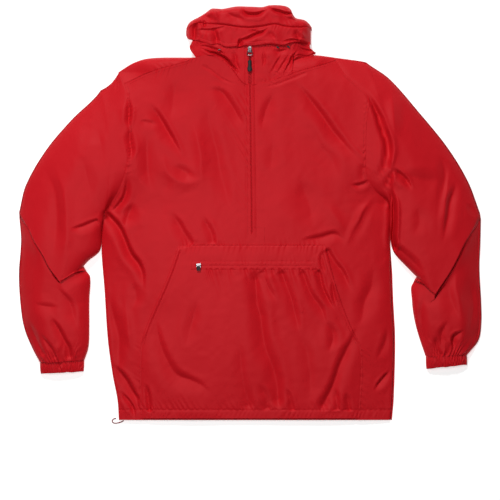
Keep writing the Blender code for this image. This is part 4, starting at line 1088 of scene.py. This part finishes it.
def buildStitches(name, runs, finish):
    # one lockstitch seam after another: short raised dashes of thread along each path
    mesh = bmesh.new()
    for path, height in runs:
        path = densePath(path, 0.004)
        steps = np.hypot(*np.diff(path, axis=0).T)
        along = np.concatenate(([0.0], np.cumsum(steps)))
        pitch = stitch["length"] + stitch["gap"]
        starts = np.arange(0.0, along[-1] - stitch["length"], pitch)
        marks = np.stack([starts, starts + 0.5 * stitch["length"], starts + stitch["length"]], axis=1)
        xs, ys = (np.interp(marks, along, path[:, k]) for k in (0, 1))
        zs = height(xs, ys) + stitch["lift"]
        zs[:, [0, 2]] -= stitch["sink"]
        for sx, sy, sz in zip(xs, ys, zs):
            way = Vector((sx[2] - sx[0], sy[2] - sy[0], 0)).normalized()
            side = Vector((-way.y, way.x, 0)) * stitch["radius"]
            rise = Vector((0, 0, stitch["radius"]))
            rings = []
            for k in range(3):
                centre = Vector((sx[k] - middleX, sy[k] - middleY, sz[k]))
                rings.append([mesh.verts.new(centre + o) for o in (side, rise, -side, -rise)])
            for a, b in zip(rings, rings[1:]):
                for i in range(4):
                    mesh.faces.new((a[i], a[(i + 1) % 4], b[(i + 1) % 4], b[i]))
            mesh.faces.new(rings[0][::-1])
            mesh.faces.new(rings[2])
    bmesh.ops.recalc_face_normals(mesh, faces=mesh.faces)
    data = bpy.data.meshes.new(name)
    mesh.to_mesh(data)
    mesh.free()
    data.shade_smooth()
    linked(name, data, finish)


def offsetLine(at, ys, shift):
    return [(float(at(y)) + shift, y) for y in ys]


def levelLine(at, xs, shift):
    return [(x, float(at(x)) + shift) for x in xs]


def seamRuns():
    # each run is a path and the height it is sewn on
    placket = []
    overBody, overHood = np.linspace(0.384, 0.696, 30), np.linspace(0.712, 0.770, 8)
    for ys, height in ((overBody, frontHeight), (overHood, sideHeight)):
        placket += [(offsetLine(centreX, ys, side * seamInset["placket"]), height) for side in (-1, 1)]
    placket += [(inPairs(-10, 404, 30, 404), frontHeight), (inPairs(30, 404, 30, 372), frontHeight)]
    hem = [([(x, hemSeamY) for x in np.linspace(-0.272, 0.290, 60)], frontHeight)]
    pouch = []
    sewn, openPart = np.linspace(0.026, 0.150, 14), np.linspace(0.160, 0.360, 22)
    for ys, inset in ((sewn, seamInset["pouch"]), (openPart, seamInset["opening"])):
        pouch += [(offsetLine(at, ys, shift), pouchHeight) for at, shift in
                  ((pouchLowX, inset), (pouchHighX, -inset))]
    pouch += [([(x, 0.3660) for x in np.linspace(-0.142, 0.152, 40)], pouchHeight)]
    zipLow, zipHigh = pocketZip["y"] - seamInset["welt"], pocketZip["y"] + seamInset["welt"]
    pouch += [([(x, y) for x in np.linspace(-0.122, 0.139, 40)], pouchHeight) for y in (zipLow, zipHigh)]
    pouch += [([(x, zipLow), (x, zipHigh)], pouchHeight) for x in (-0.122, 0.139)]
    arm = [(offsetLine(leftX, np.linspace(0.455, 0.700, 30), seamInset["armhole"]), frontHeight),
           (offsetLine(rightX, np.linspace(0.480, 0.725, 30), -seamInset["armhole"]), frontHeight)]
    arm += [(levelLine(topY, np.linspace(-0.250, -0.120, 18), -seamInset["shoulder"]), frontHeight),
            (levelLine(topY, np.linspace(0.060, 0.172, 16), -seamInset["shoulder"]), frontHeight)]
    hood = [(levelLine(bandLowY, np.linspace(-0.110, 0.112, 30), band["channel"]), bandTop)]
    return {"placketStitches": placket, "hemStitches": hem, "pouchStitches": pouch, "armholeStitches": arm,
            "hoodStitches": hood}


hemCord = {
    "radius": 0.0011,
    "path": [
        (-0.2640, 0.0006, 0.0040), (-0.2668, -0.0015, 0.0026), (-0.2705, -0.0030, 0.0013),
        (-0.2760, -0.0045, 0.0012), (-0.2815, -0.0052, 0.0012), (-0.2862, -0.0042, 0.0012),
        (-0.2885, -0.0010, 0.0012), (-0.2872, 0.0025, 0.0012), (-0.2836, 0.0048, 0.0012),
        (-0.2796, 0.0052, 0.0012),
    ],
}


def buildHemCord(finish):
    # elastic cord: out of the hem's channel, once round in a short loop and back under the hem
    places = [(x - middleX, y - middleY, z) for x, y, z in hemCord["path"]]
    data = bpy.data.curves.new("hemCord", "CURVE")
    data.dimensions = "3D"
    data.bevel_depth, data.bevel_resolution, data.resolution_u = hemCord["radius"], 4, 6
    line = data.splines.new("NURBS")
    line.points.add(len(places) - 1)
    for spot, place in zip(line.points, places):
        spot.co = (*place, 1.0)
    line.order_u, line.use_endpoint_u = 4, True
    linked("hemCord", data, finish, "hem_cord_loop")


setStage()
cloth = (nylonTaffeta("calenderedNylonTaffeta", taffeta), "nylon_taffeta")
tape = (wovenTape("wovenZipTape", "#BE141E", 1.6, 0.4), "zip_tape")
thread = (wovenTape("spunPolyesterThread", "#BA161E", 0.8, 0.3), "cord_red")
cordFinish = (wovenTape("braidedElasticCord", "#8E1018", 1.2, 0.8), "cord_red")
buildHemCord(cordFinish)
say("stage, materials and cord")

buildFront(cloth)
buildPouch(cloth)
buildBack(cloth)
say("body panels")
buildSleeve("sleeveLeft", leftSleeve, cloth, "sleeve_left")
buildSleeve("sleeveRight", rightSleeve, cloth, "sleeve_right")
buildCuff("cuffLeft", leftCuff, cloth, "cuff_left", 81, -1)
buildCuff("cuffRight", rightCuff, cloth, "cuff_right", 85, 1)
say("sleeves and cuffs")
buildCrown(cloth)
buildBand(cloth)
buildHoodSide("hoodSideLeft", leftNeck, -1, cloth, "hood_side_left")
buildHoodSide("hoodSideRight", rightNeck, 1, cloth, "hood_side_right")
say("hood")
buildTapes(tape)
for stitchName, runs in seamRuns().items():
    buildStitches(stitchName, runs, thread)
say("zips and stitches")

nickel = castNickel("platedDieCastZinc", "#8C8D90", 0.26, 0.20)
gunmetal = castNickel("crimpedSteelEnd", "#4C484B", 0.35, 0.2)
rubber = mouldedRubber("mouldedSoftRubber", "#121012", "#161315")
braid = wovenTape("braidedPullCord", "#6E0C13", 0.9, 0.8)
carried = (
    (nickel, ("front_zip_slider", "front_pull_ring", "pocket_zip_slider", "pocket_pull_tab")),
    (braid, ("front_pull_cord",)), (rubber, ("front_pull_grip",)),
    (gunmetal, ("hood_cord_end_left", "hood_cord_end_right", "hood_cord_end_far_right")),
)
for finish, nodeNames in carried:
    for nodeName in nodeNames:
        for slot in bpy.data.objects[nodeName].material_slots:
            slot.material = finish
say("hardware")
